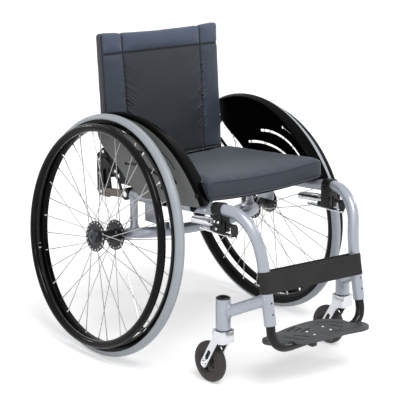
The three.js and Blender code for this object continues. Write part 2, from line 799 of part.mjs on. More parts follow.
// The calf strap is one closed band round both legs.
function makeCalfStrap() {
  const innerRadius = frameTubeRadius + strapGap;
  const loop = (radius) => {
    const steps = 8;
    const half = (centre, turn) => numbers(steps + 1).map((i) => {
      const angle = turn + (i / steps) * Math.PI;
      return new THREE.Vector2(centre + radius * Math.cos(angle), radius * Math.sin(angle));
    });
    return [...half(legEndHalfWidth, -Math.PI / 2), ...half(-legEndHalfWidth, Math.PI / 2)];
  };
  const band = new THREE.Shape(loop(innerRadius + strapThickness));
  band.holes = [new THREE.Path(loop(innerRadius))];
  const strap = new THREE.ExtrudeGeometry(band, { depth: strapHeight, bevelEnabled: false });
  strap.applyQuaternion(new THREE.Quaternion().setFromUnitVectors(point(0, 0, 1), legDirection));
  const low = onLeg(strapRise - strapHeight / 2);
  return strap.translate(0, low.y, low.z);
}

// A box whose corners u, v and w run from -1 to 1 and are moved by a rule.
function softBox(across, along, high, rule) {
  const box = new THREE.BoxGeometry(2, 2, 2, across, along, high);
  const places = box.attributes.position;
  for (let i = 0; i < places.count; i += 1) {
    places.setXYZ(i, ...rule(places.getX(i), places.getY(i), places.getZ(i)));
  }
  return box;
}

// Seat: drawn level on the rails and leaned with them, its front edge higher than its rear.
const railStart = sideTubeShares[0];
const railFinish = sideTubeShares[3];
const railRear = point(0, -railRearReach, railStart[2] * bendHeight);
const seatAngle = Math.atan2(
  (railFinish[2] - railStart[2]) * bendHeight, (railFinish[1] - railStart[1]) * legReach,
);
const slingBottom = frameTubeRadius + 2 * fitGap;
const cushionBottom = slingBottom + slingThickness + fitGap;
const drumInnerFace = railHalfWidth - railDrumHalfWidth;

function seatGroup() {
  const group = new THREE.Group();
  group.position.copy(railRear);
  group.rotation.x = -seatAngle;
  return group;
}

function makeSling() {
  const front = railRearReach - slingFront;
  const rear = railRearReach + slingRear;
  const tongue = drumInnerFace - 2 * fitGap;
  const outline = new THREE.Shape([
    new THREE.Vector2(-slingHalfWidth, front), new THREE.Vector2(slingHalfWidth, front),
    new THREE.Vector2(slingHalfWidth, 0), new THREE.Vector2(tongue, 0),
    new THREE.Vector2(tongue, rear), new THREE.Vector2(-tongue, rear),
    new THREE.Vector2(-tongue, 0), new THREE.Vector2(-slingHalfWidth, 0),
  ]);
  const sheet = new THREE.ExtrudeGeometry(outline, { depth: slingThickness, bevelEnabled: false });
  return sheet.translate(0, 0, slingBottom);
}

function makeCushion() {
  const front = railRearReach - cushionFront;
  const rear = railRearReach + cushionRear;
  const middle = (front + rear) / 2;
  const halfLength = (rear - front) / 2;
  const halfThickness = cushionThickness / 2;
  return softBox(8, 8, 4, (u, v, w) => {
    const round = cushionEdgeRound * w ** 6;
    const x = u * (cushionHalfWidth - cushionDrawIn * (1 - v * v) - round);
    const y = v * (halfLength - cushionDrawIn * (1 - u * u) - round);
    const crown = cushionCrown * (1 - u ** 4) * (1 - v ** 4) * Math.max(w, 0);
    return [x, middle + y, cushionBottom + halfThickness * (1 + w) + crown];
  });
}

// Backrest: drawn upright about its hinge and leaned back with its canes.
const backPivotHeight = caneFootHeight + backPivotRise;
const reclineAngle = Math.atan2(caneTopReach - caneFootReach, caneTopHeight - caneFootHeight);
const caneRise = (height) => (height - backPivotHeight) / Math.cos(reclineAngle);
const backPivotReach = caneFootReach + (backPivotHeight - caneFootHeight) * Math.tan(reclineAngle);
const caneHalfWidthAt = (height) => caneFootHalfWidth + (
  (caneTopHalfWidth - caneFootHalfWidth) * (height - caneFootHeight) / (caneTopHeight - caneFootHeight)
);

function backGroup() {
  const group = new THREE.Group();
  group.position.set(0, backPivotReach, backPivotHeight);
  group.rotation.x = -reclineAngle;
  return group;
}

const caneFoot = point(caneFootHalfWidth, 0, caneRise(caneFootHeight));
const caneTop = point(caneTopHalfWidth, 0, caneRise(caneTopHeight));
const flipped = (place) => point(-place.x, place.y, place.z);
const makeCane = () => rod(caneFoot, caneTop, caneRadius, 12);

function makeBackPad() {
  const low = caneRise(caneFootHeight + backPadRise);
  const high = caneRise(caneTopHeight + backPadOver);
  const pad = softBox(8, 3, 8, (u, v, w) => {
    const rise = (1 + w) / 2;
    const halfWidth = backPadFootHalfWidth + (backPadTopHalfWidth - backPadFootHalfWidth) * rise;
    const crown = backPadCrown * (1 - u ** 4) * (1 - w ** 4) * Math.max(-v, 0);
    const y = backPadThickness * (v + 1) / 2 - backPadFrontDepth - crown;
    return [u * halfWidth, y, low + (high - low) * rise];
  });
  const clearRadius = (caneRadius + fitGap) / Math.cos(Math.PI / 12);
  const direction = caneTop.clone().sub(caneFoot).normalize();
  const above = caneTop.clone().addScaledVector(direction, fitGap);
  const sleeves = [
    rod(caneFoot, above, clearRadius, 12), rod(flipped(caneFoot), flipped(above), clearRadius, 12),
  ];
  const pivotRadius = (pivotBoltRadius + fitGap) / Math.cos(Math.PI / 12);
  const pivotStart = point(caneHalfWidthAt(backPivotHeight), 0, 0);
  const pivotEnd = point(backPadFootHalfWidth + overrun, 0, 0);
  const pivots = [
    rod(pivotStart, pivotEnd, pivotRadius, 12), rod(flipped(pivotStart), flipped(pivotEnd), pivotRadius, 12),
  ];
  return cut(pad, ...sleeves, ...pivots);
}

function makeCrossBar() {
  const height = caneFootHeight + crossBarRise;
  const half = caneHalfWidthAt(height);
  const z = caneRise(height);
  const bar = rod(point(-half, 0, z), point(half, 0, z), crossBarRadius, 10);
  const clearRadius = (caneRadius + fitGap) / Math.cos(Math.PI / 12);
  return biggest(cut(
    bar, rod(caneFoot, caneTop, clearRadius, 12),
    rod(flipped(caneFoot), flipped(caneTop), clearRadius, 12),
  ));
}

// Hinge plates: each is bolted to an arm on the rail's end and carries the cane's pivot at its head.
const backPlateInner = backPadFootHalfWidth + backPlateStandOff;
const backPlateOuter = backPlateInner + backPlateThickness;
const backArmInner = backPlateOuter + fitGap;
const backPlateFoot = railRear.z - backPlateDrop;
const backPlateHead = backPivotHeight - backPlateHeadDrop;

// The slot's two ends as shares of the way up from the plate's foot to its head.
const backSlotShares = [0.333, 0.722];

function makeBackPlate() {
  const plate = wrappedPlate([
    [backPivotReach, backPivotHeight, backPlateHeadRadius],
    [backPlateRear, backPlateHead, backPlateRadius],
    [backPlateRear, backPlateFoot, backPlateRadius],
    [backPlateRear - 2 * backPlateRadius, backPlateFoot, backPlateRadius],
  ], backPlateInner, backPlateOuter);
  const slotEnds = backSlotShares.map((share) => backPlateFoot + share * (backPlateHead - backPlateFoot));
  const slot = wrappedPlate(
    slotEnds.map((height) => [backSlotReach, height, backSlotWidth / 2]),
    backPlateInner - overrun, backPlateOuter + overrun,
  );
  const pivot = point(backPlateOuter, backPivotReach, backPivotHeight);
  const caneSide = caneHalfWidthAt(backPivotHeight) + caneRadius + fitGap;
  const pivotBolt = rod(pivot.clone().setX(caneSide), pivot, pivotBoltRadius, 12);
  return join(cut(plate, slot), pivotBolt);
}

function makeBackArm() {
  const drumHeight = railRear.z;
  const arm = wrappedPlate([
    [-railDrumReach, drumHeight, backArmRadius],
    [backPlateRear - backPlateRadius, backPlateFoot, backArmRadius],
  ], backArmInner, backArmInner + backArmThickness);
  const drum = rod(
    point(drumInnerFace, -railDrumReach, drumHeight),
    point(railHalfWidth + railDrumHalfWidth, -railDrumReach, drumHeight), railDrumRadius, 16,
  );
  return join(drum, arm);
}

function makeBackLatch() {
  const outer = backPlateInner - fitGap;
  return wrappedPlate([
    [backLatchReach, backPlateFoot + backLatchRise, backLatchRadius],
    [backLatchReach, backPlateFoot + backLatchRise - backLatchDrop, backLatchRadius],
  ], outer - backLatchThickness, outer);
}

// Side guard: a plate whose upper edge follows the wheel and rolls in over the seat's side.
const guardInnerFace = guardOuterFace - guardThickness;

// The guard ends at its front where its edge comes down to the rail, in whole degrees.
const guardFrontAngle = numbers(180).find((angle) => {
  const reach = -guardFrontRadius * Math.cos(radians(angle));
  const height = wheelCentreHeight + guardFrontRadius * Math.sin(radians(angle));
  return reach > gussetReach && height <= onRail(reach).z + guardTipRise;
});
const guardEdge = (share) => {
  const angle = radians(guardRearAngle + (guardFrontAngle - guardRearAngle) * share);
  const radius = guardRadius + (guardFrontRadius - guardRadius) * share * share;
  return { angle, radius };
};
const aboutAxle = (angle, radius) => (
  [radius * Math.cos(angle), wheelCentreHeight + radius * Math.sin(angle)]
);

// The guard's foot follows the rail: each place's reach as a share of the guard's radius, and its
// depth below the rail's centre line as a share of the deepest. The rear end is a place about the axle.
const guardFootShares = [[0.93, 1], [0.75, 0.876], [0.36, 0.679], [0.29, -0.197]];
const guardRearShares = [0.31, 0.75];
const guardFoot = guardFootShares.map(([share, depth]) => (
  new THREE.Vector2(-share * guardRadius, onRail(share * guardRadius).z - depth * guardFootDrop)
));
guardFoot.push(new THREE.Vector2(
  guardRearShares[0] * guardRadius, wheelCentreHeight + guardRearShares[1] * guardRadius,
));

// A place on the guard at an angle, as a share of the way from its foot out to its radius.
function onGuard(angle, share) {
  const axle = new THREE.Vector2(0, wheelCentreHeight);
  const ray = new THREE.Vector2(Math.cos(angle), Math.sin(angle));
  const crossings = guardFoot.slice(1).map((end, i) => {
    const start = guardFoot[i].clone().sub(axle);
    const edge = end.clone().sub(guardFoot[i]);
    const along = ray.cross(start) / edge.cross(ray);
    return along >= 0 && along <= 1 ? start.cross(edge) / ray.cross(edge) : 0;
  });
  const foot = Math.max(...crossings);
  return new THREE.Vector2(...aboutAxle(angle, foot + share * (guardRadius - foot)));
}

// Each slot's two ends: an angle share along the guard and a share of the way out from its foot.
const guardSlotShares = [
  [0.42, 0.509, 0.8, 0.864], [0.29, 0.147, 0.72, 0.595], [0.59, 0.873, 0.78, 0.981],
];
// The lip's width along the guard from rear to front, as shares of its widest.
const guardLipShares = [0.42, 0.42, 0.42, 0.42, 0.45, 0.7, 0.95, 1, 0.8, 0.45, 0.12];

function makeGuard() {
  const steps = guardLipShares.length - 1;
  const rim = numbers(steps + 1).map((i) => guardEdge(i / steps));
  const edge = rim.map(({ angle, radius }) => new THREE.Vector2(...aboutAxle(angle, radius)));
  const outline = new THREE.Shape([...edge, ...guardFoot]);
  outline.holes = guardSlotShares.map(([angleShare, outShare, endShare, endOutShare]) => {
    const from = onGuard(guardEdge(angleShare).angle, outShare);
    const to = onGuard(guardEdge(endShare).angle, endOutShare);
    return slotOutline(from, to, guardSlotWidth);
  });
  const face = new THREE.ExtrudeGeometry(outline, { depth: guardThickness, bevelEnabled: false });
  const upright = new THREE.Matrix4().makeBasis(point(0, 1, 0), point(0, 0, 1), point(1, 0, 0));
  face.applyMatrix4(upright).translate(guardInnerFace, 0, 0);
  const lip = loft(rim.map(({ angle, radius }, i) => {
    const inner = guardInnerFace - guardLipWidth * guardLipShares[i];
    const corner = (x, r) => point(x, ...aboutAxle(angle, r));
    return [
      corner(guardOuterFace - guardThickness / 2, radius - guardLipDepth),
      corner(guardOuterFace, radius - guardThickness),
      corner(guardInnerFace, radius), corner(inner, radius),
      corner(inner, radius - guardThickness), corner(guardInnerFace, radius - 2 * guardThickness),
    ];
  }));
  const bosses = [gussetReach + gussetWidth, guardBossReach].map((reach) => {
    const rail = onRail(reach);
    const surface = rail.x + frameTubeRadius + fitGap;
    const height = rail.z + guardBossRadius / 2;
    const end = point(guardInnerFace + fitGap, rail.y, height);
    return rod(point(surface, rail.y, height), end, guardBossRadius, 10);
  });
  return join(face, lip, ...bosses);
}

// Brakes: a clamp under the rail carries a lever below it and a shoe arm behind it.
const clampPlace = onRail(brakeReach);
const brakeClampBottom = bendHeight - brakeClampDrop;
const brakeShoeTop = bendHeight - brakeShoeDrop;
const shoePin = point(brakeHalfWidth, clampPlace.y + brakeClampLength / 2 + brakeShoePinGap, brakeShoeTop);
const leverPin = point(brakeHalfWidth, clampPlace.y, brakeClampBottom);

function makeBrakeClamp() {
  const along = onRail(brakeReach - brakeClampLength / 2).sub(onRail(brakeReach + brakeClampLength / 2));
  along.normalize().multiplyScalar(brakeClampLength / 2);
  const band = rod(
    clampPlace.clone().add(along), clampPlace.clone().sub(along), frameTubeRadius + clampWall, 16,
  );
  const body = block(
    point(brakeHalfWidth - brakeClampWidth / 2, clampPlace.y - brakeClampLength / 2, brakeClampBottom),
    point(brakeHalfWidth + brakeClampWidth / 2, clampPlace.y + brakeClampLength / 2, clampPlace.z),
  );
  const lugRadius = brakeShoeWidth;
  const shoeBottom = brakeShoeTop - brakeShoeHeight;
  const lug = wrappedSlab([
    [shoePin.x, shoePin.y, lugRadius], [shoePin.x, clampPlace.y, lugRadius],
  ], brakeClampBottom, shoeBottom - fitGap);
  const pin = rod(shoePin.clone().setZ(brakeClampBottom), shoePin.clone(), brakePinRadius, 12);
  const leverBore = rod(
    leverPin.clone().setZ(brakeClampBottom - overrun), leverPin.clone().setZ(shoeBottom + fitGap),
    brakePinRadius + 2 * fitGap, 12,
  );
  const railClear = sweep(sideTubePath(), tubeCoverRadius, tubeSides, sideTubeSteps);
  return biggest(cut(join(band, body, lug, pin), railClear, leverBore));
}

function makeBrakeShoe() {
  const bottom = brakeShoeTop - brakeShoeHeight;
  const arm = wrappedSlab([
    [shoePin.x, shoePin.y, brakeShoeWidth], [shoePin.x, shoePin.y + brakeShoeLength, brakeShoeWidth],
  ], bottom, brakeShoeTop);
  const bore = rod(
    shoePin.clone().setZ(bottom - overrun), shoePin.clone().setZ(brakeShoeTop + overrun),
    brakePinRadius + 2 * fitGap, 12,
  );
  return cut(arm, bore);
}

function makeBrakeLever() {
  const top = brakeClampBottom - fitGap;
  const bottom = top - brakeLeverHeight;
  const half = brakeLeverWidth / 2;
  const bar = wrappedSlab([
    [leverPin.x, leverPin.y - brakeLeverFront, half], [leverPin.x, leverPin.y + brakeLeverRear, half],
  ], bottom, top);
  const slot = wrappedSlab([
    [leverPin.x, leverPin.y + brakeLeverWidth, half / 2],
    [leverPin.x, leverPin.y + brakeLeverRear, half / 2],
  ], bottom - overrun, top + overrun);
  const pin = rod(
    leverPin.clone().setZ(bottom), leverPin.clone().setZ(brakeShoeTop - brakeShoeHeight), brakePinRadius, 12,
  );
  return join(cut(bar, slot), pin);
}

function makeBrakeKnob() {
  const bottom = brakeClampBottom;
  const steps = 6;
  const round = numbers(steps + 1).map((i) => {
    const angle = (i / steps - 1 / 2) * Math.PI;
    const swell = Math.cos(angle) ** (2 / 3);
    return [bottom + brakeKnobHeight * (1 + Math.sin(angle)) / 2, brakeKnobRadius * swell];
  });
  round[0][1] = brakeKnobRadius / 2;
  const knob = turnedAboutZ([[bottom, 0], ...round.slice(0, -1), [bottom + brakeKnobHeight, 0]], 12);
  return knob.translate(leverPin.x, leverPin.y - brakeLeverFront, 0);
}

// Geometry shared by both sides
const wheelPieces = [
  ['tyre', makeTyre(), finishes.tyre],
  ['rim', makeRim(), finishes.glossBlack],
  ['push_rim', makePushRim(), finishes.glossBlack],
  ['hub', makeHub(), finishes.satinBlack],
  ['outer_spokes', makeSpokes(1), finishes.steel],
  ['inner_spokes', makeSpokes(-1), finishes.steel],
  ['axle_pin', makeAxlePin(), finishes.steel],
  ['axle_button', makeAxleButton(), finishes.satinBlack],
  ['axle_receiver', makeReceiver(), finishes.steel],
];
const sidePieces = [
  ['side_frame', makeSideFrame(), finishes.silverPaint],
  ['rear_post', makeRearPost(), finishes.silverPaint],
  ['castor_fork', makeCastorFork(), finishes.chrome],
  ['castor_bolt', makeCastorBolt(), finishes.chrome],
  ['castor_tyre', makeCastorTyre(), finishes.castorRubber],
  ['castor_hub', makeCastorHub(), finishes.satinBlack],
  ['stem_cap', makeStemCap(), finishes.satinBlack],
  ['back_plate', makeBackPlate(), finishes.satinBlack],
  ['back_arm', makeBackArm(), finishes.silverPaint],
  ['back_latch', makeBackLatch(), finishes.satinBlack],
  ['side_guard', makeGuard(), finishes.glossBlack],
  ['brake_clamp', makeBrakeClamp(), finishes.satinBlack],
  ['brake_shoe', makeBrakeShoe(), finishes.chrome],
  ['brake_lever', makeBrakeLever(), finishes.chrome],
  ['brake_knob', makeBrakeKnob(), finishes.satinBlack],
];

const chair = new THREE.Group();
const addPieces = (group, pieces, side) => (
  pieces.forEach(([name, geometry, material]) => group.add(piece(`${side}_${name}`, geometry, material)))
);

for (const [side, sign] of [['left', 1], ['right', -1]]) {
  const half = new THREE.Group();
  half.scale.x = sign;
  const wheel = wheelGroup();
  addPieces(wheel, wheelPieces, side);
  half.add(wheel);
  addPieces(half, sidePieces, side);
  const back = backGroup();
  back.add(piece(`${side}_back_cane`, makeCane(), finishes.satinBlack));
  half.add(back);
  chair.add(half);
  chair.add(piece(`${side}_footplate_clamp`, makePlateClamp(sign), finishes.satinBlack));
}

chair.add(piece('axle_tube', makeAxleTube(), finishes.silverPaint));
chair.add(piece('footrest_tube', makeFootrestTube(), finishes.satinBlack));
chair.add(piece('footplate', makeFootplate(), finishes.footplate));
chair.add(piece('calf_strap', makeCalfStrap(), finishes.webbing));

const seat = seatGroup();
seat.add(piece('seat_sling', makeSling(), finishes.webbing));
seat.add(piece('seat_cushion', makeCushion(), finishes.fabric));
chair.add(seat);

const back = backGroup();
back.add(piece('back_pad', makeBackPad(), finishes.fabric));
back.add(piece('back_cross_bar', makeCrossBar(), finishes.satinBlack));
chair.add(back);

// The origin is on the floor, halfway along the chair's length.
chair.position.y = (plateReach - wheelRadius) / 2;
const wheelchair = new THREE.Group();
wheelchair.add(chair);

export default wheelchair;
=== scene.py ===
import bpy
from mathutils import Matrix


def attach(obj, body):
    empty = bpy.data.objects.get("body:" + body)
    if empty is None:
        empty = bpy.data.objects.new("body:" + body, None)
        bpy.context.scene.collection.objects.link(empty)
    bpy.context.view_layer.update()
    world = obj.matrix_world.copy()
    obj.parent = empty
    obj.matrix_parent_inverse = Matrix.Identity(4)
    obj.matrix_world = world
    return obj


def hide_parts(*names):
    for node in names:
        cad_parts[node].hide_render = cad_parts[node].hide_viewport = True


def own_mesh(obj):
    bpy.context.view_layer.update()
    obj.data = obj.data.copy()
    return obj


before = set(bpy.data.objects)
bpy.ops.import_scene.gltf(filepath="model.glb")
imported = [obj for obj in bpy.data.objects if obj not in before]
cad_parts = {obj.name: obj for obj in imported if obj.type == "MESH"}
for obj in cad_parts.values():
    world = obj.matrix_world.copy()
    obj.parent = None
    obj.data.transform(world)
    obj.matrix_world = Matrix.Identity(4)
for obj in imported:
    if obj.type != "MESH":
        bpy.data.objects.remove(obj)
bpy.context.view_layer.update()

import math

import bmesh
import bpy
import mathutils
from mathutils import Matrix, Vector, noise

# Studio. A white sweep under soft overhead light, seen from the photograph's place: low, from
# the chair's front right quarter, with a long lens. Lengths in this script are in millimetres,
# with the rear axle at Y 0, and every piece is turned to metres as it is finished.
MILLIMETRE = 0.001
AXLE_PLACE = 120.5
TO_METRES = Matrix.Translation((0, AXLE_PLACE * MILLIMETRE, 0)) @ Matrix.Scale(MILLIMETRE, 4)


def linear(code):
    """Turns an sRGB hex colour into linear RGBA."""
    shares = [int(code[place:place + 2], 16) / 255 for place in (1, 3, 5)]
    return tuple(
        share / 12.92 if share <= 0.04045 else ((share + 0.055) / 1.055) ** 2.4 for share in shares
    ) + (1.0,)


def add_node(tree, kind, settings=None, links=None):
    """Adds a node, sets its sockets or properties by name or number, and links its inputs."""
    node = tree.nodes.new(kind)
    for name, value in (settings or {}).items():
        if isinstance(name, int) or name in node.inputs:
            node.inputs[name].default_value = value
        else:
            setattr(node, name, value)
    for name, source in (links or {}).items():
        tree.links.new(source, node.inputs[name])
    return node


def aimed(place, target, roll=0.0):
    """A matrix in metres at a place in millimetres, with its -Z towards a target."""
    start = TO_METRES @ Vector(place)
    back = (start - TO_METRES @ Vector(target)).normalized()
    turn = back.to_track_quat("Z", "Y").to_matrix().to_4x4()
    return Matrix.Translation(start) @ turn @ Matrix.Rotation(math.radians(roll), 4, "Z")


camera_data = bpy.data.cameras.new("photo_camera")
camera_data.lens = 114.87
camera_data.sensor_width = 36
camera_data.clip_end = 60
camera = bpy.data.objects.new("photo_camera", camera_data)
camera.matrix_world = aimed((-2059, -2517.2, 1173), (486.06, 522.35, 170.63), roll=-0.31)
bpy.context.scene.collection.objects.link(camera)
bpy.context.scene.camera = camera

# One broad lamp high overhead, as wide as a studio's ceiling light, gives the soft shadow.
OVERHEAD_STRENGTH = 1.7
OVERHEAD_WIDTH = math.radians(30)
overhead_data = bpy.data.lights.new("overhead_light", "SUN")
overhead_data.energy = OVERHEAD_STRENGTH
overhead_data.angle = OVERHEAD_WIDTH
overhead = bpy.data.objects.new("overhead_light", overhead_data)
overhead.matrix_world = aimed((-600, -1900, 3300), (0, 0, 300))
bpy.context.scene.collection.objects.link(overhead)

# Each softbox: name, place, target, width in metres, power in watts.
SOFTBOXES = [
    ("front_softbox", (-2600, -2600, 1900), (0, -100, 350), 0.4, 9),
    ("right_softbox", (3000, -900, 1700), (0, 0, 350), 0.4, 9),
    ("rear_softbox", (-1200, 3000, 1800), (0, 0, 450), 0.4, 9),
]
for name, place, target, width, power in SOFTBOXES:
    lamp_data = bpy.data.lights.new(name, "AREA")
    lamp_data.shape = "DISK"
    lamp_data.size = width
    lamp_data.energy = power
    lamp = bpy.data.objects.new(name, lamp_data)
    lamp.matrix_world = aimed(place, target)
    bpy.context.scene.collection.objects.link(lamp)


def seen_directly(tree):
    """One where the camera, a mirror reflection or clear glass shows the surface, else nought."""
    sight = add_node(tree, "ShaderNodeLightPath")
    seen = add_node(tree, "ShaderNodeMath", {"operation": "MAXIMUM"}, {
        0: sight.outputs["Is Camera Ray"], 1: sight.outputs["Is Glossy Ray"],
    })
    return add_node(tree, "ShaderNodeMath", {"operation": "MAXIMUM"}, {
        0: seen.outputs[0], 1: sight.outputs["Is Transmission Ray"],
    })


world = bpy.data.worlds.new("white_studio")
world.use_nodes = True
bpy.context.scene.world = world
sky = world.node_tree
sky.nodes.clear()
STUDIO_LIGHT = 0.4
strength = add_node(sky, "ShaderNodeMapRange", {"To Min": STUDIO_LIGHT, "To Max": 1.0}, {
    "Value": seen_directly(sky).outputs[0],
})
white = add_node(sky, "ShaderNodeBackground", {"Color": linear("#ffffff")}, {
    "Strength": strength.outputs["Result"],
})
add_node(sky, "ShaderNodeOutputWorld", links={"Surface": white.outputs["Background"]})

view = bpy.context.scene.view_settings
view.view_transform = "Standard"

# The floor is matt white paper. To the camera it is lit a little more than it reflects, so it
# runs into the white background, and the chair's soft shadow stays on it.
FLOOR_HALF_WIDTH = 9000
floor_form = bmesh.new()
bmesh.ops.create_grid(floor_form, x_segments=1, y_segments=1, size=FLOOR_HALF_WIDTH)
bmesh.ops.transform(floor_form, matrix=TO_METRES, verts=floor_form.verts)
floor_mesh = bpy.data.meshes.new("paper_floor")
floor_form.to_mesh(floor_mesh)
floor_form.free()
floor = bpy.data.objects.new("paper_floor", floor_mesh)
bpy.context.scene.collection.objects.link(floor)
paper = bpy.data.materials.new("white_paper")
paper.use_nodes = True
paper_tree = paper.node_tree
paper_tree.nodes.clear()
paper_matt = add_node(paper_tree, "ShaderNodeBsdfDiffuse", {"Color": linear("#f4f4f5")})
PAPER_GLOW = 0.42
paper_share = add_node(paper_tree, "ShaderNodeMath", {"operation": "MULTIPLY", 1: PAPER_GLOW}, {
    0: seen_directly(paper_tree).outputs[0],
})
paper_glow = add_node(paper_tree, "ShaderNodeEmission", {"Color": linear("#ffffff")}, {
    "Strength": paper_share.outputs[0],
})
paper_mix = add_node(paper_tree, "ShaderNodeAddShader", links={
    0: paper_matt.outputs[0], 1: paper_glow.outputs[0],
})
add_node(paper_tree, "ShaderNodeOutputMaterial", links={"Surface": paper_mix.outputs[0]})
floor.data.materials.append(paper)

# Tyres. A solid grey polyurethane tyre sits in each rear wheel: moulded in one ring, matt, with
# two fine grooves and rows of small ribs on both shoulders. The ring's section is nearly round.
WHEEL_RADIUS = 305
TYRE_HALF = 13
TYRE_SEAT_ANGLE = 130
CAMBER = math.radians(6.78)
WHEEL_TRACK_HALF = 261.8
TYRE_CENTRE_RADIUS = WHEEL_RADIUS - TYRE_HALF
WHEEL_HEIGHT = TYRE_CENTRE_RADIUS * math.cos(CAMBER) + TYRE_HALF
WHEEL_PLACE = (
    Matrix.Translation((WHEEL_TRACK_HALF, 0, WHEEL_HEIGHT)) @ Matrix.Rotation(-CAMBER, 4, "Y")
)
WELD_DISTANCE = 0.002
SHARP_ANGLE = math.radians(38)


def rounded(corners, radius, steps=3):
    """Rounds the inner corners of an open line of two-number places."""
    line = [Vector(corners[0])]
    for before, corner, after in zip(corners, corners[1:], corners[2:]):
        corner = Vector(corner)
        to_before = Vector(before) - corner
        to_after = Vector(after) - corner
        reach = min(radius, to_before.length / 2.2, to_after.length / 2.2)
        start = corner + to_before.normalized() * reach
        end = corner + to_after.normalized() * reach
        for step in range(steps + 1):
            share = step / steps
            line.append(
                start * (1 - share) ** 2 + corner * 2 * share * (1 - share) + end * share ** 2
            )
    line.append(Vector(corners[-1]))
    return line


def turned(profile, segments, axis="X"):
    """Spins a line of (place along the axis, radius) pairs into a closed round form."""
    form = bmesh.new()
    spots = [form.verts.new((along, 0, radius)) for along, radius in profile]
    edges = [form.edges.new(pair) for pair in zip(spots, spots[1:])]
    bmesh.ops.spin(
        form, geom=spots + edges, cent=(0, 0, 0), axis=(1, 0, 0), dvec=(0, 0, 0),
        angle=2 * math.pi, steps=segments, use_merge=True, use_duplicate=False,
    )
    bmesh.ops.remove_doubles(form, verts=form.verts, dist=WELD_DISTANCE)
    bmesh.ops.dissolve_degenerate(form, dist=WELD_DISTANCE, edges=form.edges)
    if axis == "Z":
        bmesh.ops.rotate(
            form, verts=form.verts, cent=(0, 0, 0), matrix=Matrix.Rotation(-math.pi / 2, 3, "Y"),
        )
    bmesh.ops.recalc_face_normals(form, faces=form.faces)
    return form


def moved(form, matrix):
    """Moves a form by a matrix, or by a shift given as three numbers."""
    if not isinstance(matrix, Matrix):
        matrix = Matrix.Translation(matrix)
    bmesh.ops.transform(form, matrix=matrix, verts=form.verts)
    return form


def together(forms):
    """Puts several forms into the first one, and frees the others."""
    whole = forms[0]
    for form in forms[1:]:
        scrap = bpy.data.meshes.new("scrap")
        form.to_mesh(scrap)
        whole.from_mesh(scrap)
        bpy.data.meshes.remove(scrap)
        form.free()
    return whole


def mirrored(form):
    """Turns a form into its mirror image across X."""
    bmesh.ops.scale(form, vec=(-1, 1, 1), verts=form.verts)
    bmesh.ops.reverse_faces(form, faces=form.faces)
    return form


def add_piece(name, form, material, body, nodes=(), sharp=SHARP_ANGLE):
    """Makes a finished piece in metres from a form in millimetres, and ties it to its body."""
    bmesh.ops.transform(form, matrix=TO_METRES, verts=form.verts)
    mesh = bpy.data.meshes.new(name)
    form.to_mesh(mesh)
    form.free()
    mesh.polygons.foreach_set("use_smooth", [True] * len(mesh.polygons))
    mesh.set_sharp_from_angle(angle=sharp)
    mesh.materials.append(material)
    piece = bpy.data.objects.new(name, mesh)
    bpy.context.scene.collection.objects.link(piece)
    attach(piece, body)
    if nodes:
        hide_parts(*nodes)
    return piece


def add_pair(name, form, material, body, nodes=()):
    """Adds the left piece and its mirror image; {} in body and nodes stands for the side."""
    return [
        add_piece(
            f"{side}_{name}", shape, material, body.format(side),
            [node.format(side) for node in nodes],
        )
        for side, shape in (("left", form), ("right", mirrored(form.copy())))
    ]


def new_finish(name, color, roughness, metallic=0.0, **sockets):
    """Starts a material with one Principled shader and returns it, its node tree and the shader."""
    material = bpy.data.materials.new(name)
    material.use_nodes = True
    tree = material.node_tree
    tree.nodes.clear()
    settings = {"Base Color": linear(color), "Roughness": roughness, "Metallic": metallic}
    for key, value in sockets.items():
        settings[key.replace("_", " ").title().replace("Ior", "IOR")] = value
    shader = add_node(tree, "ShaderNodeBsdfPrincipled", settings)
    add_node(tree, "ShaderNodeOutputMaterial", links={"Surface": shader.outputs["BSDF"]})
    return material, tree, shader


def add_grain(tree, shader, size, depth, tones=None, wear=None):
    """Gives a finish a grain of a real size and depth in millimetres. Tones are the two colours
    that it varies between over larger patches, and wear the two roughness values."""
    place = add_node(tree, "ShaderNodeTexCoord").outputs["Object"]
    fine = add_node(tree, "ShaderNodeTexNoise", {"Scale": 1 / (size * MILLIMETRE), "Detail": 3.0}, {
        "Vector": place,
    })
    bump = add_node(tree, "ShaderNodeBump", {"Distance": depth * MILLIMETRE, "Strength": 1.0}, {
        "Height": fine.outputs["Fac"],
    })
    tree.links.new(bump.outputs["Normal"], shader.inputs["Normal"])
    patches = add_node(tree, "ShaderNodeTexNoise", {"Scale": 22.0, "Detail": 4.0}, {"Vector": place})
    if tones:
        blend = add_node(tree, "ShaderNodeMix", {
            "data_type": "RGBA", 6: linear(tones[0]), 7: linear(tones[1]),
        }, {0: patches.outputs["Fac"]})
        tree.links.new(blend.outputs[2], shader.inputs["Base Color"])
    if wear:
        spread = add_node(tree, "ShaderNodeMapRange", {
            "From Min": 0.3, "From Max": 0.7, "To Min": wear[0], "To Max": wear[1],
        }, {"Value": patches.outputs["Fac"]})
        tree.links.new(spread.outputs["Result"], shader.inputs["Roughness"])


# Grey polyurethane, moulded: a soft, slightly uneven matt skin with a faint dusty variation.
tyre_finish, tree, shader = new_finish("grey_polyurethane", "#b2b6bc", 0.45)
add_grain(tree, shader, 1.6, 0.12, ("#a2a9b0", "#b4bac0"), (0.34, 0.5))

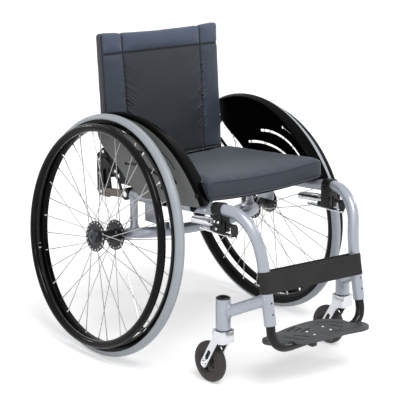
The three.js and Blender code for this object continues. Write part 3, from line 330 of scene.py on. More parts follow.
TYRE_SEGMENTS = 216
GROOVE_ANGLES = (-40, 40)
GROOVE_HALF_ANGLE = 1.5
GROOVE_DEPTH = 0.8
RIB_DEPTH = 0.45
RIB_EDGE = 0.7
RIBS_START, RIBS_END = 48, 66
tyre_angles = list(range(-TYRE_SEAT_ANGLE, -RIBS_START, 9)) + [
    -48, -42.5, -41, -39, -37.5, -30, -20, -10, 0, 10, 20, 30, 37.5, 39, 41, 42.5, 48,
] + list(range(RIBS_START + 10, TYRE_SEAT_ANGLE + 1, 9))
tyre_profile = []
for angle in tyre_angles:
    grooved = any(abs(angle - groove) < GROOVE_HALF_ANGLE for groove in GROOVE_ANGLES)
    depth = GROOVE_DEPTH if grooved else 0
    turn = math.radians(angle)
    tyre_profile.append((
        (TYRE_HALF - depth) * math.sin(turn),
        TYRE_CENTRE_RADIUS + (TYRE_HALF - depth) * math.cos(turn),
    ))
tyre = turned(tyre_profile + [tyre_profile[0]], TYRE_SEGMENTS)


def around(spot):
    """The angle of a place about the X axis, in degrees."""
    return math.degrees(math.atan2(spot.y, spot.z)) % 360


def out_from_axle(spot):
    """How far a place lies from the X axis."""
    return math.hypot(spot.y, spot.z)


rib_step = 360 / TYRE_SEGMENTS
ribs = []
for face in tyre.faces:
    middle = face.calc_center_median()
    slant = math.degrees(math.atan2(middle.x, out_from_axle(middle) - TYRE_CENTRE_RADIUS))
    if RIBS_START < abs(slant) < RIBS_END and int(around(middle) / rib_step) % 2:
        ribs.append(face)
bmesh.ops.inset_individual(tyre, faces=ribs, thickness=RIB_EDGE, depth=-RIB_DEPTH)
add_pair("wheel_tyre", moved(tyre, WHEEL_PLACE), tyre_finish, "{}_wheel", ["{}_tyre"])

# Rims. Each is an extruded aluminium hoop, bent, welded and powder coated in gloss black, with
# hooked side walls for the tyre and a deeper bridge where the spoke nipples come through.
RIM_HALF = 12.5
RIM_SEAT_RADIUS = TYRE_CENTRE_RADIUS + TYRE_HALF * math.cos(math.radians(TYRE_SEAT_ANGLE)) - 0.3
RIM_INNER_RADIUS = RIM_SEAT_RADIUS - 14
RIM_WALL_RISE = 8
RIM_BRIDGE_HALF = 6.5
WHEEL_SEGMENTS = 180

# Gloss black powder coat on aluminium: a hard clear skin over black with a slight orange peel.
rim_finish, tree, shader = new_finish(
    "gloss_black_powder_coat", "#070506", 0.16, specular_ior_level=0.1,
)
add_grain(tree, shader, 2.4, 0.03, None, (0.18, 0.3))

wall_top = RIM_SEAT_RADIUS + RIM_WALL_RISE
rim_line = rounded([
    (0, RIM_INNER_RADIUS), (RIM_BRIDGE_HALF, RIM_INNER_RADIUS),
    (RIM_HALF + 0.6, RIM_SEAT_RADIUS - 4.5), (TYRE_HALF + 0.9, wall_top - 1.5),
    (TYRE_HALF + 0.5, wall_top), (TYRE_HALF - 0.6, wall_top - 0.6),
    (RIM_HALF - 0.6, RIM_SEAT_RADIUS - 1), (RIM_HALF - 3.2, RIM_SEAT_RADIUS - 3.2),
    (0, RIM_SEAT_RADIUS - 3.2),
], 1.6)
rim_profile = rim_line + [Vector((-spot.x, spot.y)) for spot in reversed(rim_line[1:-1])]
rim = turned(rim_profile + [rim_profile[0]], WHEEL_SEGMENTS)
add_pair("wheel_rim", moved(rim, WHEEL_PLACE), rim_finish, "{}_wheel", ["{}_rim"])

# Push rims. A black anodised tube is rolled into a hoop that the rider's hands drive. Six bright
# bent tabs hold it to the rim's side, each with one black dome-headed screw.
PUSH_RIM_TUBE = 10
PUSH_RIM_RING = 270.5
PUSH_RIM_OFFSET = 35.8
TAB_COUNT = 6
TAB_START = math.radians(13)
TAB_HALF_WIDTH = 8
TAB_THICKNESS = 2.6

# Black anodised and polished aluminium: dark with sharp reflections and light hand wear.
push_finish, tree, shader = new_finish(
    "black_anodised_aluminium", "#080607", 0.12, specular_ior_level=0.14,
)
add_grain(tree, shader, 3.0, 0.012, None, (0.1, 0.24))
# Zinc-plated steel of tabs and screws: bright, a little grey, with fine turned marks.
screw_finish, tree, shader = new_finish("zinc_plated_screw", "#c9ccd0", 0.28, 1.0)
add_grain(tree, shader, 0.5, 0.01, ("#bfc3c8", "#d3d6da"))


def circle_line(centre, radius, count):
    """Places on a closed circle of (along, radius) pairs."""
    return [
        (centre[0] + radius * math.sin(2 * math.pi * step / count),
         centre[1] + radius * math.cos(2 * math.pi * step / count))
        for step in range(count)
    ]


def strip(line, half_width, thickness):
    """A bent flat strip: a line in the XZ plane made as wide as asked along Y, and as thick."""
    form = bmesh.new()
    spots = [form.verts.new((x, -half_width, z)) for x, z in line]
    edges = [form.edges.new(pair) for pair in zip(spots, spots[1:])]
    made = bmesh.ops.extrude_edge_only(form, edges=edges)["geom"]
    shifted = [item for item in made if isinstance(item, bmesh.types.BMVert)]
    bmesh.ops.translate(form, vec=(0, 2 * half_width, 0), verts=shifted)
    bmesh.ops.recalc_face_normals(form, faces=form.faces)
    bmesh.ops.solidify(form, geom=form.faces, thickness=thickness)
    bmesh.ops.recalc_face_normals(form, faces=form.faces)
    return form


def dome_screw(radius, height):
    """A round-headed screw on the X axis, seen from +X, with a sunk socket in its head."""
    socket = radius * 0.45
    line = rounded([
        (-0.5, 0), (-0.5, radius), (height * 0.3, radius), (height, radius * 0.62),
        (height, socket), (height * 0.35, socket), (height * 0.35, 0),
    ], radius * 0.22, 2)
    return turned(line, 20)


push_circle = circle_line((PUSH_RIM_OFFSET, PUSH_RIM_RING), PUSH_RIM_TUBE, 20)
push_ring = turned(push_circle + push_circle[:1], WHEEL_SEGMENTS)
tab_line = rounded([
    (RIM_HALF + 0.2, RIM_SEAT_RADIUS - 1), (RIM_HALF + 0.2, RIM_SEAT_RADIUS - 6.2),
    (RIM_HALF + 8, RIM_SEAT_RADIUS - 6.2), (PUSH_RIM_OFFSET - 4, RIM_SEAT_RADIUS - 4.6),
], 4, 4)
tabs = []
tab_screws = []
for step in range(TAB_COUNT):
    turn = Matrix.Rotation(TAB_START + step / TAB_COUNT * 2 * math.pi, 4, "X")
    tab = strip(tab_line, TAB_HALF_WIDTH, TAB_THICKNESS)
    edges = [edge for edge in tab.edges if edge.calc_face_angle(0) > SHARP_ANGLE]
    bmesh.ops.bevel(
        tab, geom=edges, offset=0.6, offset_type="OFFSET", affect="EDGES", segments=2,
        profile=0.5, material=-1, clamp_overlap=True,
    )
    tabs.append(moved(tab, turn))
    screw = moved(dome_screw(4.6, 5.5), Matrix.Rotation(math.pi / 2, 4, "Y"))
    tab_screws.append(moved(moved(screw, (RIM_HALF + 5, 0, RIM_SEAT_RADIUS - 8.6)), turn))
add_pair(
    "push_rim_hoop", moved(push_ring, WHEEL_PLACE), push_finish, "{}_wheel",
    ["{}_push_rim"],
)
add_pair("push_rim_tabs", moved(together(tabs), WHEEL_PLACE), screw_finish, "{}_wheel")
add_pair(
    "push_rim_screws", moved(together(tab_screws), WHEEL_PLACE), push_finish,
    "{}_wheel",
)

# Hubs. A turned black aluminium barrel with a thin waist joins two flanges, and has a shallow
# recess round the axle at each end. The spokes hook into the flanges, so their heads show as
# pale dots.
HUB_FLANGE_PLACE = 30.5
HUB_FLANGE_RADIUS = 38.6
HUB_FLANGE_HALF = 1.6
HUB_BARREL_RADIUS = 16
HUB_WAIST_RADIUS = 12.5
HUB_END = 38.1
SPOKES_PER_FLANGE = 18
SPOKE_HOLE_RADIUS = 34.2

# Black anodised aluminium, turned: satin, with fine rings that catch the light.
hub_finish, tree, shader = new_finish("turned_black_aluminium", "#17171b", 0.34, 0.35)
add_grain(tree, shader, 0.8, 0.03, ("#131317", "#202026"), (0.28, 0.44))

barrel_half = [
    (0, HUB_WAIST_RADIUS), (HUB_FLANGE_PLACE - 8, HUB_WAIST_RADIUS),
    (HUB_FLANGE_PLACE - 3, HUB_BARREL_RADIUS), (HUB_FLANGE_PLACE + 3, HUB_BARREL_RADIUS),
    (HUB_END - 3, HUB_BARREL_RADIUS - 1.2), (HUB_END, HUB_BARREL_RADIUS - 3),
    (HUB_END, 11.6), (HUB_END - 1, 11.2), (HUB_END - 1, 6.4),
]
barrel_line = rounded(barrel_half, 1.2)
barrel_profile = [Vector((-spot.x, spot.y)) for spot in reversed(barrel_line[1:])] + barrel_line
barrel = turned(barrel_profile + [barrel_profile[0]], 64)
add_pair("hub_barrel", moved(barrel, WHEEL_PLACE), hub_finish, "{}_wheel", ["{}_hub"])

flanges = {}
for flange_side, node in ((1, "outer_spokes"), (-1, "inner_spokes")):
    flange_line = rounded([
        (-HUB_FLANGE_HALF, HUB_BARREL_RADIUS - 0.4), (-HUB_FLANGE_HALF, HUB_FLANGE_RADIUS),
        (HUB_FLANGE_HALF, HUB_FLANGE_RADIUS), (HUB_FLANGE_HALF, HUB_FLANGE_RADIUS - 8),
        (HUB_FLANGE_HALF - 0.5, HUB_FLANGE_RADIUS - 9.5), (HUB_FLANGE_HALF - 0.5, HUB_BARREL_RADIUS + 5),
        (HUB_FLANGE_HALF + 1.4, HUB_BARREL_RADIUS - 0.4),
    ], 0.6, 3)
    flange = turned(flange_line + [flange_line[0]], 72)
    if flange_side < 0:
        flange = mirrored(flange)
    flanges[node] = moved(flange, (flange_side * HUB_FLANGE_PLACE, 0, 0))

# Spokes. Thirty-six drawn stainless wires to a wheel, laced nearly radially: each hooks through
# its flange with an upset head, leaves it on one face and ends in a nickel-plated nipple at the
# rim, 20 degrees further round or back than it began.
SPOKE_RADIUS = 1.15
SPOKE_SWEEP = math.radians(20)
SPOKE_RIM_OFFSET = 3.25
NIPPLE_LENGTH = 11
NIPPLE_RADIUS = 2.0
EYELET_RADIUS = 2.2

# Drawn stainless wire and nickel-plated brass: bright grey metal, a little brushed lengthwise.
spoke_finish, tree, shader = new_finish("stainless_wire", "#8d8b89", 0.3, 1.0)
add_grain(tree, shader, 0.7, 0.008, ("#a8a6a4", "#c4c2c0"))
nipple_finish, tree, shader = new_finish("nickel_plated_brass", "#dcdad6", 0.22, 1.0)
add_grain(tree, shader, 0.6, 0.008, ("#d0cec9", "#e6e4e0"))


def frames_along(path):
    """A matrix at each place of a path, with its Z along the path and no needless twist."""
    headings = []
    for number in range(len(path)):
        before = path[max(number - 1, 0)]
        after = path[min(number + 1, len(path) - 1)]
        headings.append((after - before).normalized())
    turn = headings[0].to_track_quat("Z", "Y")
    frames = []
    for number, heading in enumerate(headings):
        if number:
            turn = headings[number - 1].rotation_difference(heading) @ turn
        frames.append(Matrix.Translation(path[number]) @ turn.to_matrix().to_4x4())
    return frames


def swept(path, radius, sides, ring=False):
    """A closed round bar along a path: a disc extruded from place to place. A ring joins the last
    place to the first."""
    path = [Vector(place) for place in path]
    frames = frames_along(path)
    form = bmesh.new()
    disc = bmesh.ops.create_circle(form, cap_ends=True, radius=1, segments=sides)["verts"]
    first = end = form.faces[:][0]
    last = Matrix.Identity(4)
    for number, place in enumerate(frames):
        if number:
            made = bmesh.ops.extrude_face_region(form, geom=[end])["geom"]
            if number > 1:
                bmesh.ops.delete(form, geom=[end], context="FACES_ONLY")
            end = next(item for item in made if isinstance(item, bmesh.types.BMFace))
            disc = [item for item in made if isinstance(item, bmesh.types.BMVert)]
        placed = place @ Matrix.Diagonal((radius, radius, 1, 1))
        bmesh.ops.transform(form, matrix=placed @ last.inverted(), verts=disc)
        last = placed
    if ring:
        edges = first.edges[:] + end.edges[:]
        bmesh.ops.delete(form, geom=[first, end], context="FACES_ONLY")
        bmesh.ops.bridge_loops(form, edges=edges)
    bmesh.ops.recalc_face_normals(form, faces=form.faces)
    return form


def on_wheel(along, radius, angle):
    """A place about the wheel's axis."""
    return Vector((along, radius * math.cos(angle), radius * math.sin(angle)))


def circle_places(radius, count):
    """Places on a circle about the X axis."""
    return [on_wheel(0, radius, 2 * math.pi * step / count) for step in range(count)]


for flange_side, node in ((1, "outer_spokes"), (-1, "inner_spokes")):
    wires = []
    nipples = []
    for number in range(SPOKES_PER_FLANGE):
        family = 1 if number % 2 == 0 else -1
        hub_angle = (number + (1 - flange_side) / 4) / SPOKES_PER_FLANGE * 2 * math.pi
        face = family * (HUB_FLANGE_HALF + SPOKE_RADIUS)
        rim_angle = hub_angle + SPOKE_SWEEP * family
        hole = on_wheel(flange_side * HUB_FLANGE_PLACE, SPOKE_HOLE_RADIUS, hub_angle)
        leaving = on_wheel(flange_side * HUB_FLANGE_PLACE + face, SPOKE_HOLE_RADIUS, hub_angle)
        rim_end = on_wheel(flange_side * SPOKE_RIM_OFFSET, RIM_INNER_RADIUS + 0.6, rim_angle)
        heading = (rim_end - leaving).normalized()
        through = Vector((family, 0, 0))
        wires.append(swept([
            hole - through * (HUB_FLANGE_HALF + 0.2), hole + through * HUB_FLANGE_HALF * 0.5,
            leaving - through * 0.4 + heading * 0.25, leaving + heading * 1.4,
            leaving + heading * 12, rim_end - heading * NIPPLE_LENGTH * 0.6,
        ], SPOKE_RADIUS, 8))
        head = turned(rounded([(-0.2, 0), (-0.2, 2.2), (0.7, 2.0), (1.1, 1.0), (1.1, 0)], 0.5, 2), 12)
        if family > 0:
            head = mirrored(head)
        wires.append(moved(head, hole - through * (HUB_FLANGE_HALF + 0.1)))
        for side in (-1, 1):
            eyelet = swept(circle_places(EYELET_RADIUS, 12), 0.55, 6, ring=True)
            wires.append(moved(eyelet, hole + through * side * (HUB_FLANGE_HALF + 0.2)))
        nipple = turned(rounded([
            (0, 0), (0, NIPPLE_RADIUS * 0.8), (NIPPLE_LENGTH * 0.45, NIPPLE_RADIUS),
            (NIPPLE_LENGTH * 0.5, NIPPLE_RADIUS * 1.2), (NIPPLE_LENGTH, NIPPLE_RADIUS * 1.2),
            (NIPPLE_LENGTH, 0),
        ], 0.3, 1), 8)
        seat = rim_end - heading * NIPPLE_LENGTH
        turn = heading.to_track_quat("X", "Z").to_matrix().to_4x4()
        nipples.append(moved(nipple, Matrix.Translation(seat) @ turn))
    add_pair(
        f"{node}_wires", moved(together(wires), WHEEL_PLACE), spoke_finish,
        "{}_wheel", ["{}_" + node],
    )
    add_pair(
        f"{node}_nipples", moved(together(nipples), WHEEL_PLACE), nipple_finish,
        "{}_wheel",
    )
    add_pair(
        f"{node}_flange", moved(flanges[node], WHEEL_PLACE), hub_finish,
        "{}_wheel", ["{}_" + node],
    )

# Quick-release axles. A pin runs through each hub. Its head is a domed slate cap round a spring
# button of the same finish, and inside the wheel the pin enters a plain steel receiver.
AXLE_PIN_RADIUS = 6
AXLE_HEAD_RADIUS = 15.6
AXLE_HEAD_LENGTH = 6
BUTTON_RADIUS = 4.5
BUTTON_HOLE_DEPTH = 2.6
RECEIVER_RADIUS = 11
RECEIVER_COLLAR_RADIUS = 13.5
RECEIVER_LENGTH = 42
RECEIVER_BORE = 6.4

# Ground steel for the receiver: grey metal, satin.
axle_finish, tree, shader = new_finish("ground_steel", "#9fa2a7", 0.3, 1.0)
add_grain(tree, shader, 0.6, 0.02, ("#8f9297", "#b0b3b8"), (0.24, 0.4))
# Slate coat of the pin and its button: satin, with a fine grain.
cap_finish, tree, shader = new_finish("satin_slate_cap", "#2a3038", 0.34)
add_grain(tree, shader, 0.7, 0.03, ("#252b33", "#333a44"), (0.28, 0.42))

head = HUB_END + 0.3
inner = -(HUB_END + RECEIVER_LENGTH)
hole_floor = head - BUTTON_HOLE_DEPTH
pin_line = rounded([
    (inner, 0), (inner, AXLE_PIN_RADIUS - 0.8), (inner + 1.2, AXLE_PIN_RADIUS),
    (head - 0.4, AXLE_PIN_RADIUS), (head, AXLE_PIN_RADIUS), (head, AXLE_PIN_RADIUS + 0.4),
    (head, AXLE_HEAD_RADIUS - 0.4), (head + 1.6, AXLE_HEAD_RADIUS),
    (head + 4, AXLE_HEAD_RADIUS - 3), (head + AXLE_HEAD_LENGTH, AXLE_HEAD_RADIUS - 8.5),
    (head + AXLE_HEAD_LENGTH, BUTTON_RADIUS + 0.5), (hole_floor, BUTTON_RADIUS + 0.3),
    (hole_floor, 0),
], 3, 5)
add_pair(
    "quick_release_pin", moved(turned(pin_line, 48), WHEEL_PLACE), cap_finish,
    "root", ["{}_axle_pin"],
)
button_end = head + AXLE_HEAD_LENGTH + 3.5
button_line = rounded([
    (button_end - 5.5, 0), (button_end - 5.5, BUTTON_RADIUS), (button_end - 0.8, BUTTON_RADIUS),
    (button_end, BUTTON_RADIUS - 1.4), (button_end - 0.3, 0),
], 0.7, 3)
add_pair(
    "quick_release_button", moved(turned(button_line, 32), WHEEL_PLACE), cap_finish,
    "{}_axle_button", ["{}_axle_button"],
)
receiver_line = rounded([
    (-head, RECEIVER_BORE), (-head, RECEIVER_COLLAR_RADIUS), (-head - 3, RECEIVER_COLLAR_RADIUS),
    (-head - 3, RECEIVER_RADIUS), (inner, RECEIVER_RADIUS), (inner, RECEIVER_BORE),
], 0.5, 2)
receiver = turned(receiver_line + [receiver_line[0]], 48)
add_pair(
    "axle_receiver_sleeve", moved(receiver, WHEEL_PLACE), axle_finish, "root",
    ["{}_axle_receiver"],
)

# Side frames. One aluminium tube is bent into seat rail and front leg, and a second joins the leg
# to the castor housing. A plate hangs under the rail. All is TIG welded, so a fillet runs round
# every joint, and then powder coated.
FRAME_TUBE = 14
RAIL_HALF_WIDTH = 190
LEG_REACH = 486
BEND_HEIGHT = 426
LEG_END = Vector((148.5, -LEG_REACH, 169))
LEG_LEAN = math.radians(10.222)
LEG_HEADING = Vector((0, math.sin(LEG_LEAN), math.cos(LEG_LEAN)))
STEM_PLACE = Vector((201, -380.5, 0))
STEM_RADIUS = 18
STEM_BOTTOM = 145
STEM_TOP = 221
TUBE_SIDES = 32
BEAD_RADIUS = 2.6
BEAD_STEPS = 48
ARM_FOOT_HEIGHT = 230
ARM_HEAD_HEIGHT = 184
GUSSET_REACH = 98
LEG_BORE_RADIUS = 11.3
LEG_SCREW_RISES = (29, 56)

# Powder coat: pale lavender silver over aluminium, with a fine metal flake and a soft clear gloss.
paint_finish, tree, shader = new_finish(
    "silver_powder_coat", "#aeb3be", 0.32, 0.45, coat_weight=0.3, coat_roughness=0.2,
)
add_grain(tree, shader, 0.9, 0.02, ("#a4a9b4", "#b5bac5"), (0.28, 0.4))


def through(places, count):
    """A smooth line through places, as a centripetal Catmull-Rom curve, with count steps."""
    spots = [Vector(place) for place in places]
    first = spots[0] * 2 - spots[1]
    last = spots[-1] * 2 - spots[-2]
    padded = [first] + spots + [last]
    line = []
    for step in range(count + 1):
        share = step / count * (len(spots) - 1)
        number = min(int(share), len(spots) - 2)
        share -= number
        p0, p1, p2, p3 = padded[number:number + 4]
        t0 = max((p1 - p0).length, 0.0001) ** 0.5
        t1 = max((p2 - p1).length, 0.0001) ** 0.5
        t2 = max((p3 - p2).length, 0.0001) ** 0.5
        start = ((p1 - p0) / t0 - (p2 - p0) / (t0 + t1) + (p2 - p1) / t1) * t1
        end = ((p2 - p1) / t1 - (p3 - p1) / (t1 + t2) + (p3 - p2) / t2) * t1
        line.append(
            p1 + start * share + (3 * (p2 - p1) - 2 * start - end) * share ** 2
            + (2 * (p1 - p2) + start + end) * share ** 3
        )
    return line


def on_leg(rise):
    """A place on the leg's centre line, up from its lower end."""
    return LEG_END + LEG_HEADING * rise


SIDE_TUBE_SHARES = [
    (1, 0.0494, 0.9423), (0.995, 0.247, 0.9559), (0.984, 0.4527, 0.9702), (0.972, 0.6379, 0.9845),
    (0.952, 0.7407, 1), (0.913, 0.823, 0.989), (0.876, 0.8868, 0.938), (0.841, 0.9239, 0.8685),
    (0.8, 0.942, 0.7746), (0.7842, 0.9551, 0.6815),
]
SIDE_TUBE_LINE = through(
    [(x * RAIL_HALF_WIDTH, -y * LEG_REACH, z * BEND_HEIGHT) for x, y, z in SIDE_TUBE_SHARES]
    + [on_leg(61), LEG_END], 120,
)


def on_rail(reach):
    """The place on the side tube's centre line at a reach in front of the rear axle."""
    return next(place for place in SIDE_TUBE_LINE if -place.y >= reach)


def as_object(form):
    """A short-lived object with a copy of a form's mesh."""
    mesh = bpy.data.meshes.new("scrap")
    form.to_mesh(mesh)
    shape = bpy.data.objects.new("scrap", mesh)
    bpy.context.scene.collection.objects.link(shape)
    return shape


def settled(shape):
    """The form of a short-lived object with its modifiers applied. The object is removed."""
    view_layer = bpy.context.view_layer
    view_layer.update()
    final = shape.evaluated_get(bpy.context.evaluated_depsgraph_get())
    form = bmesh.new()
    form.from_mesh(final.to_mesh())
    final.to_mesh_clear()
    mesh = shape.data
    bpy.data.objects.remove(shape)
    bpy.data.meshes.remove(mesh)
    return form


def carved(form, joins=(), cuts=()):
    """Joins closed forms to a form and cuts others out of it, and frees them all."""
    shape = as_object(form)
    form.free()
    tools = []
    for operation, pieces in (("UNION", joins), ("DIFFERENCE", cuts)):
        for piece in pieces:
            tool = as_object(piece)
            piece.free()
            tools.append(tool)
            step = shape.modifiers.new("step", "BOOLEAN")
            step.operation = operation
            step.solver = "MANIFOLD"
            step.object = tool
    result = settled(shape)
    for tool in tools:
        mesh = tool.data
        bpy.data.objects.remove(tool)
        bpy.data.meshes.remove(mesh)
    return result


def softened(form, width, angle=32, segments=2):
    """Rounds the sharp edges of a form, as deburring, moulding or a coat of paint does."""
    limit = math.radians(angle)
    edges = [
        edge for edge in form.edges if len(edge.link_faces) == 2 and edge.calc_face_angle() > limit
    ]
    bmesh.ops.bevel(
        form, geom=edges, offset=width, offset_type="OFFSET", affect="EDGES", segments=segments,
        profile=0.5, material=-1, clamp_overlap=True, loop_slide=True,
    )
    return form


def weld_bead(start, heading, radius, stop, stop_heading, stop_radius):
    """The weld fillet round a bar that ends on a round tube: a bead along the line where they meet.
    The bar has a start, a heading and a radius; the tube has a place, a heading and a radius."""
    heading = heading.normalized()
    stop_heading = stop_heading.normalized()
    side = heading.orthogonal().normalized()
    across = heading.cross(side)
    line = []
    for step in range(BEAD_STEPS):
        turn = 2 * math.pi * step / BEAD_STEPS
        foot = start + (side * math.cos(turn) + across * math.sin(turn)) * radius
        gap = foot - stop
        flat_gap = gap - stop_heading * gap.dot(stop_heading)
        flat_heading = heading - stop_heading * heading.dot(stop_heading)
        a = flat_heading.length_squared
        b = flat_gap.dot(flat_heading)
        c = flat_gap.length_squared - stop_radius ** 2
        root = b * b - a * c
        reach = (-b - math.sqrt(max(root, 0))) / a
        line.append(foot + heading * reach)
    return swept(line, BEAD_RADIUS, 10, ring=True)


def bar(start, end, radius, sides=TUBE_SIDES):
    """A straight round bar between two places."""
    return swept([start, end], radius, sides)


def cuboid(low, high):
    """A box between its lowest and highest corners."""
    low, high = Vector(low), Vector(high)
    form = bmesh.new()
    bmesh.ops.create_cube(form, size=1)
    middle = (low + high) / 2
    size = high - low
    bmesh.ops.transform(
        form, matrix=Matrix.Translation(middle) @ Matrix.Diagonal((*size, 1)), verts=form.verts,
    )
    return form


castor_arm_foot = on_leg((ARM_FOOT_HEIGHT - LEG_END.z) / LEG_HEADING.z)
castor_arm_head = STEM_PLACE + Vector((0, 0, ARM_HEAD_HEIGHT))
castor_arm_heading = castor_arm_head - castor_arm_foot
rail_over_gusset = on_rail(GUSSET_REACH)
gusset = softened(cuboid(
    rail_over_gusset + Vector((-3, -30, -62)), rail_over_gusset + Vector((3, 30, 0)),
), 1.2)
side_tube = swept(SIDE_TUBE_LINE, FRAME_TUBE, TUBE_SIDES)
housing = turned(rounded([
    (STEM_BOTTOM, 0), (STEM_BOTTOM, STEM_RADIUS), (STEM_TOP, STEM_RADIUS), (STEM_TOP, 0),
], 1.0, 2), 48, "Z")
housing = moved(housing, STEM_PLACE)
castor_arm = bar(castor_arm_foot, castor_arm_head, FRAME_TUBE)
bead_at_housing = weld_bead(
    castor_arm_foot, castor_arm_heading, FRAME_TUBE, STEM_PLACE, Vector((0, 0, 1)), STEM_RADIUS,
)
bead_at_leg = weld_bead(
    castor_arm_head, -castor_arm_heading, FRAME_TUBE, LEG_END, LEG_HEADING, FRAME_TUBE,
)
gusset_beads = [
    swept([
        rail_over_gusset + Vector((side * 4.2, reach, -FRAME_TUBE + 0.6)) for reach in (-31, 0, 31)
    ], BEAD_RADIUS, 10) for side in (-1, 1)
]
leg_bore = bar(on_leg(-6), on_leg(60), LEG_BORE_RADIUS)
stem_bore = bar(STEM_PLACE + Vector((0, 0, STEM_BOTTOM - 5)), STEM_PLACE + Vector((0, 0, 206)), 6.6, 24)
screw_holes = [
    bar(on_leg(rise), on_leg(rise) + Vector((0, -FRAME_TUBE - 4, 0)), 2.5, 20)
    for rise in LEG_SCREW_RISES
]
side_frame = carved(
    side_tube, joins=[castor_arm, housing, gusset, bead_at_housing, bead_at_leg] + gusset_beads,
    cuts=[leg_bore, stem_bore] + screw_holes,
)
add_pair("side_frame_tubes", side_frame, paint_finish, "root", ["{}_side_frame"])

# Rear axle tube and posts. A bent tube of the same stock joins both wheels' receivers, bowed
# forwards under the seat, and a shorter post is welded between it and each rail, with a fillet
# round its foot and head. A set screw in a boss holds each receiver.
POST_RADIUS = 10.2
POST_REACH = 34
POST_PLACE = Vector((196, -POST_REACH, 0))
AXLE_BOW_REACH = 112
AXLE_BOW_HEIGHT = 312
SLEEVE_OUTER = -(HUB_END + 3.6)
SLEEVE_LENGTH = RECEIVER_LENGTH - 3
AXLE_BOW_SHARES = [
    (0.775, 0.25, 0.978), (0.726, 0.518, 0.991), (0.573, 0.768, 0.998), (0.283, 0.946, 1), (0, 1, 1),
]
bow_half = [WHEEL_PLACE @ Vector((SLEEVE_OUTER - SLEEVE_LENGTH / 2, 0, 0))] + [
    Vector((x * WHEEL_TRACK_HALF, -y * AXLE_BOW_REACH, z * AXLE_BOW_HEIGHT))
    for x, y, z in AXLE_BOW_SHARES
]
bow_places = bow_half + [Vector((-spot.x, spot.y, spot.z)) for spot in reversed(bow_half[:-1])]
BOW_LINE = through(bow_places, 120)
axle_bow = swept(BOW_LINE, FRAME_TUBE, TUBE_SIDES)
sleeves = []
bores = []
for mirror in (Matrix.Identity(4), Matrix.Diagonal((-1, 1, 1, 1))):
    outer = mirror @ WHEEL_PLACE @ Vector((SLEEVE_OUTER, 0, 0))
    inner = mirror @ WHEEL_PLACE @ Vector((SLEEVE_OUTER - SLEEVE_LENGTH, 0, 0))
    sleeves.append(bar(inner, outer, FRAME_TUBE + 0.02))
    outward = (outer - inner).normalized()
    bores.append(bar(outer - outward * 41, outer + outward * 3, RECEIVER_RADIUS + 0.25))
    boss_foot = (outer + inner) / 2
    sleeves.append(bar(boss_foot, boss_foot + Vector((0, 13.8, 0)), 4.2, 20))
axle_bow = carved(axle_bow, joins=sleeves, cuts=bores)
add_piece("axle_bow_tube", axle_bow, paint_finish, "root", ["axle_tube"])


def on_post(height):
    """A place on the post's centre line at a height above the floor."""
    return POST_PLACE + Vector((0, 0, height))


bow_under_post = min(BOW_LINE, key=lambda spot: (spot - on_post(AXLE_BOW_HEIGHT)).length)
rail_over_post = on_rail(POST_REACH)
post = bar(on_post(bow_under_post.z + 6), on_post(rail_over_post.z - 4), POST_RADIUS)
flare = turned(rounded([
    (-8, 0), (-8, 15.5), (-3, 12.6), (7, POST_RADIUS), (7, 0),
], 3, 4), TUBE_SIDES, "Z")
flare = moved(flare, on_post(bow_under_post.z + FRAME_TUBE))
top_bead = weld_bead(
    on_post(320), Vector((0, 0, 1)), POST_RADIUS,
    rail_over_post, Vector((0, -1, 0.06)), FRAME_TUBE,
)
post = carved(post, joins=[flare, top_bead])
add_pair("rear_post_tube", post, paint_finish, "root", ["{}_rear_post"])

# Castors. A forged and polished aluminium fork turns on a stem bolt in each housing, over a black
# dust ring. The small wheel is a dark rubber tyre moulded on a nylon hub with five openings, and
# a socket-head bolt carries it. A domed plastic cap closes the housing above.
CASTOR_RADIUS = 50.4
CASTOR_AXLE = STEM_PLACE + Vector((0, 46.8, CASTOR_RADIUS))
CASTOR_HUB_RADIUS = 27
CASTOR_HUB_HALF = 14.5
FORK_TOP = 143.5
FORK_INSIDE = 16
FORK_OUTSIDE = 21.5
FORK_LEG_RADIUS = 10.5
FORK_HEAD = STEM_PLACE + Vector((0, 0, FORK_TOP - 15))
FORK_HEADING = (FORK_HEAD - CASTOR_AXLE).normalized()

# Polished forged aluminium: bright, slightly warm, with faint buffing marks.
fork_finish, tree, shader = new_finish("polished_aluminium", "#d6d8dc", 0.2, 1.0)
add_grain(tree, shader, 1.2, 0.015, ("#cccfd4", "#e0e2e5"), (0.14, 0.28))
# Bright chrome plate on steel.
chrome_finish, tree, shader = new_finish("chrome_plate", "#e2e4e7", 0.1, 1.0)
add_grain(tree, shader, 2.0, 0.006, None, (0.07, 0.15))
# Dark brown-black rubber, moulded: matt with a fine worn bloom.
rubber_finish, tree, shader = new_finish("castor_rubber", "#2f2927", 0.6)
add_grain(tree, shader, 0.8, 0.06, ("#2a2422", "#3b3532"), (0.5, 0.72))
# Dark olive-grey nylon, moulded: satin.
nylon_finish, tree, shader = new_finish("dark_nylon", "#2b2b26", 0.42)
add_grain(tree, shader, 0.6, 0.03, ("#262621", "#34342e"))
# Gloss black polypropylene of the caps.
gloss_cap_finish, tree, shader = new_finish("gloss_black_cap", "#101013", 0.18, coat_weight=0.3)
add_grain(tree, shader, 1.5, 0.01, None, (0.14, 0.24))


def hull_outline(circles, count=32):
    """The line that wraps round circles given as (across, along, radius)."""
    spots = sorted({
        (round(across + radius * math.cos(2 * math.pi * step / count), 5),
         round(along + radius * math.sin(2 * math.pi * step / count), 5))
        for across, along, radius in circles for step in range(count)
    })

    def chain(places):
        line = []
        for spot in places:
            while len(line) > 1:
                first, last = line[-2], line[-1]
                bend = (last[0] - first[0]) * (spot[1] - first[1]) - (last[1] - first[1]) * (
                    spot[0] - first[0])
                if bend > 0:
                    break
                line.pop()
            line.append(spot)
        return line[:-1]

    return chain(spots) + chain(spots[::-1])


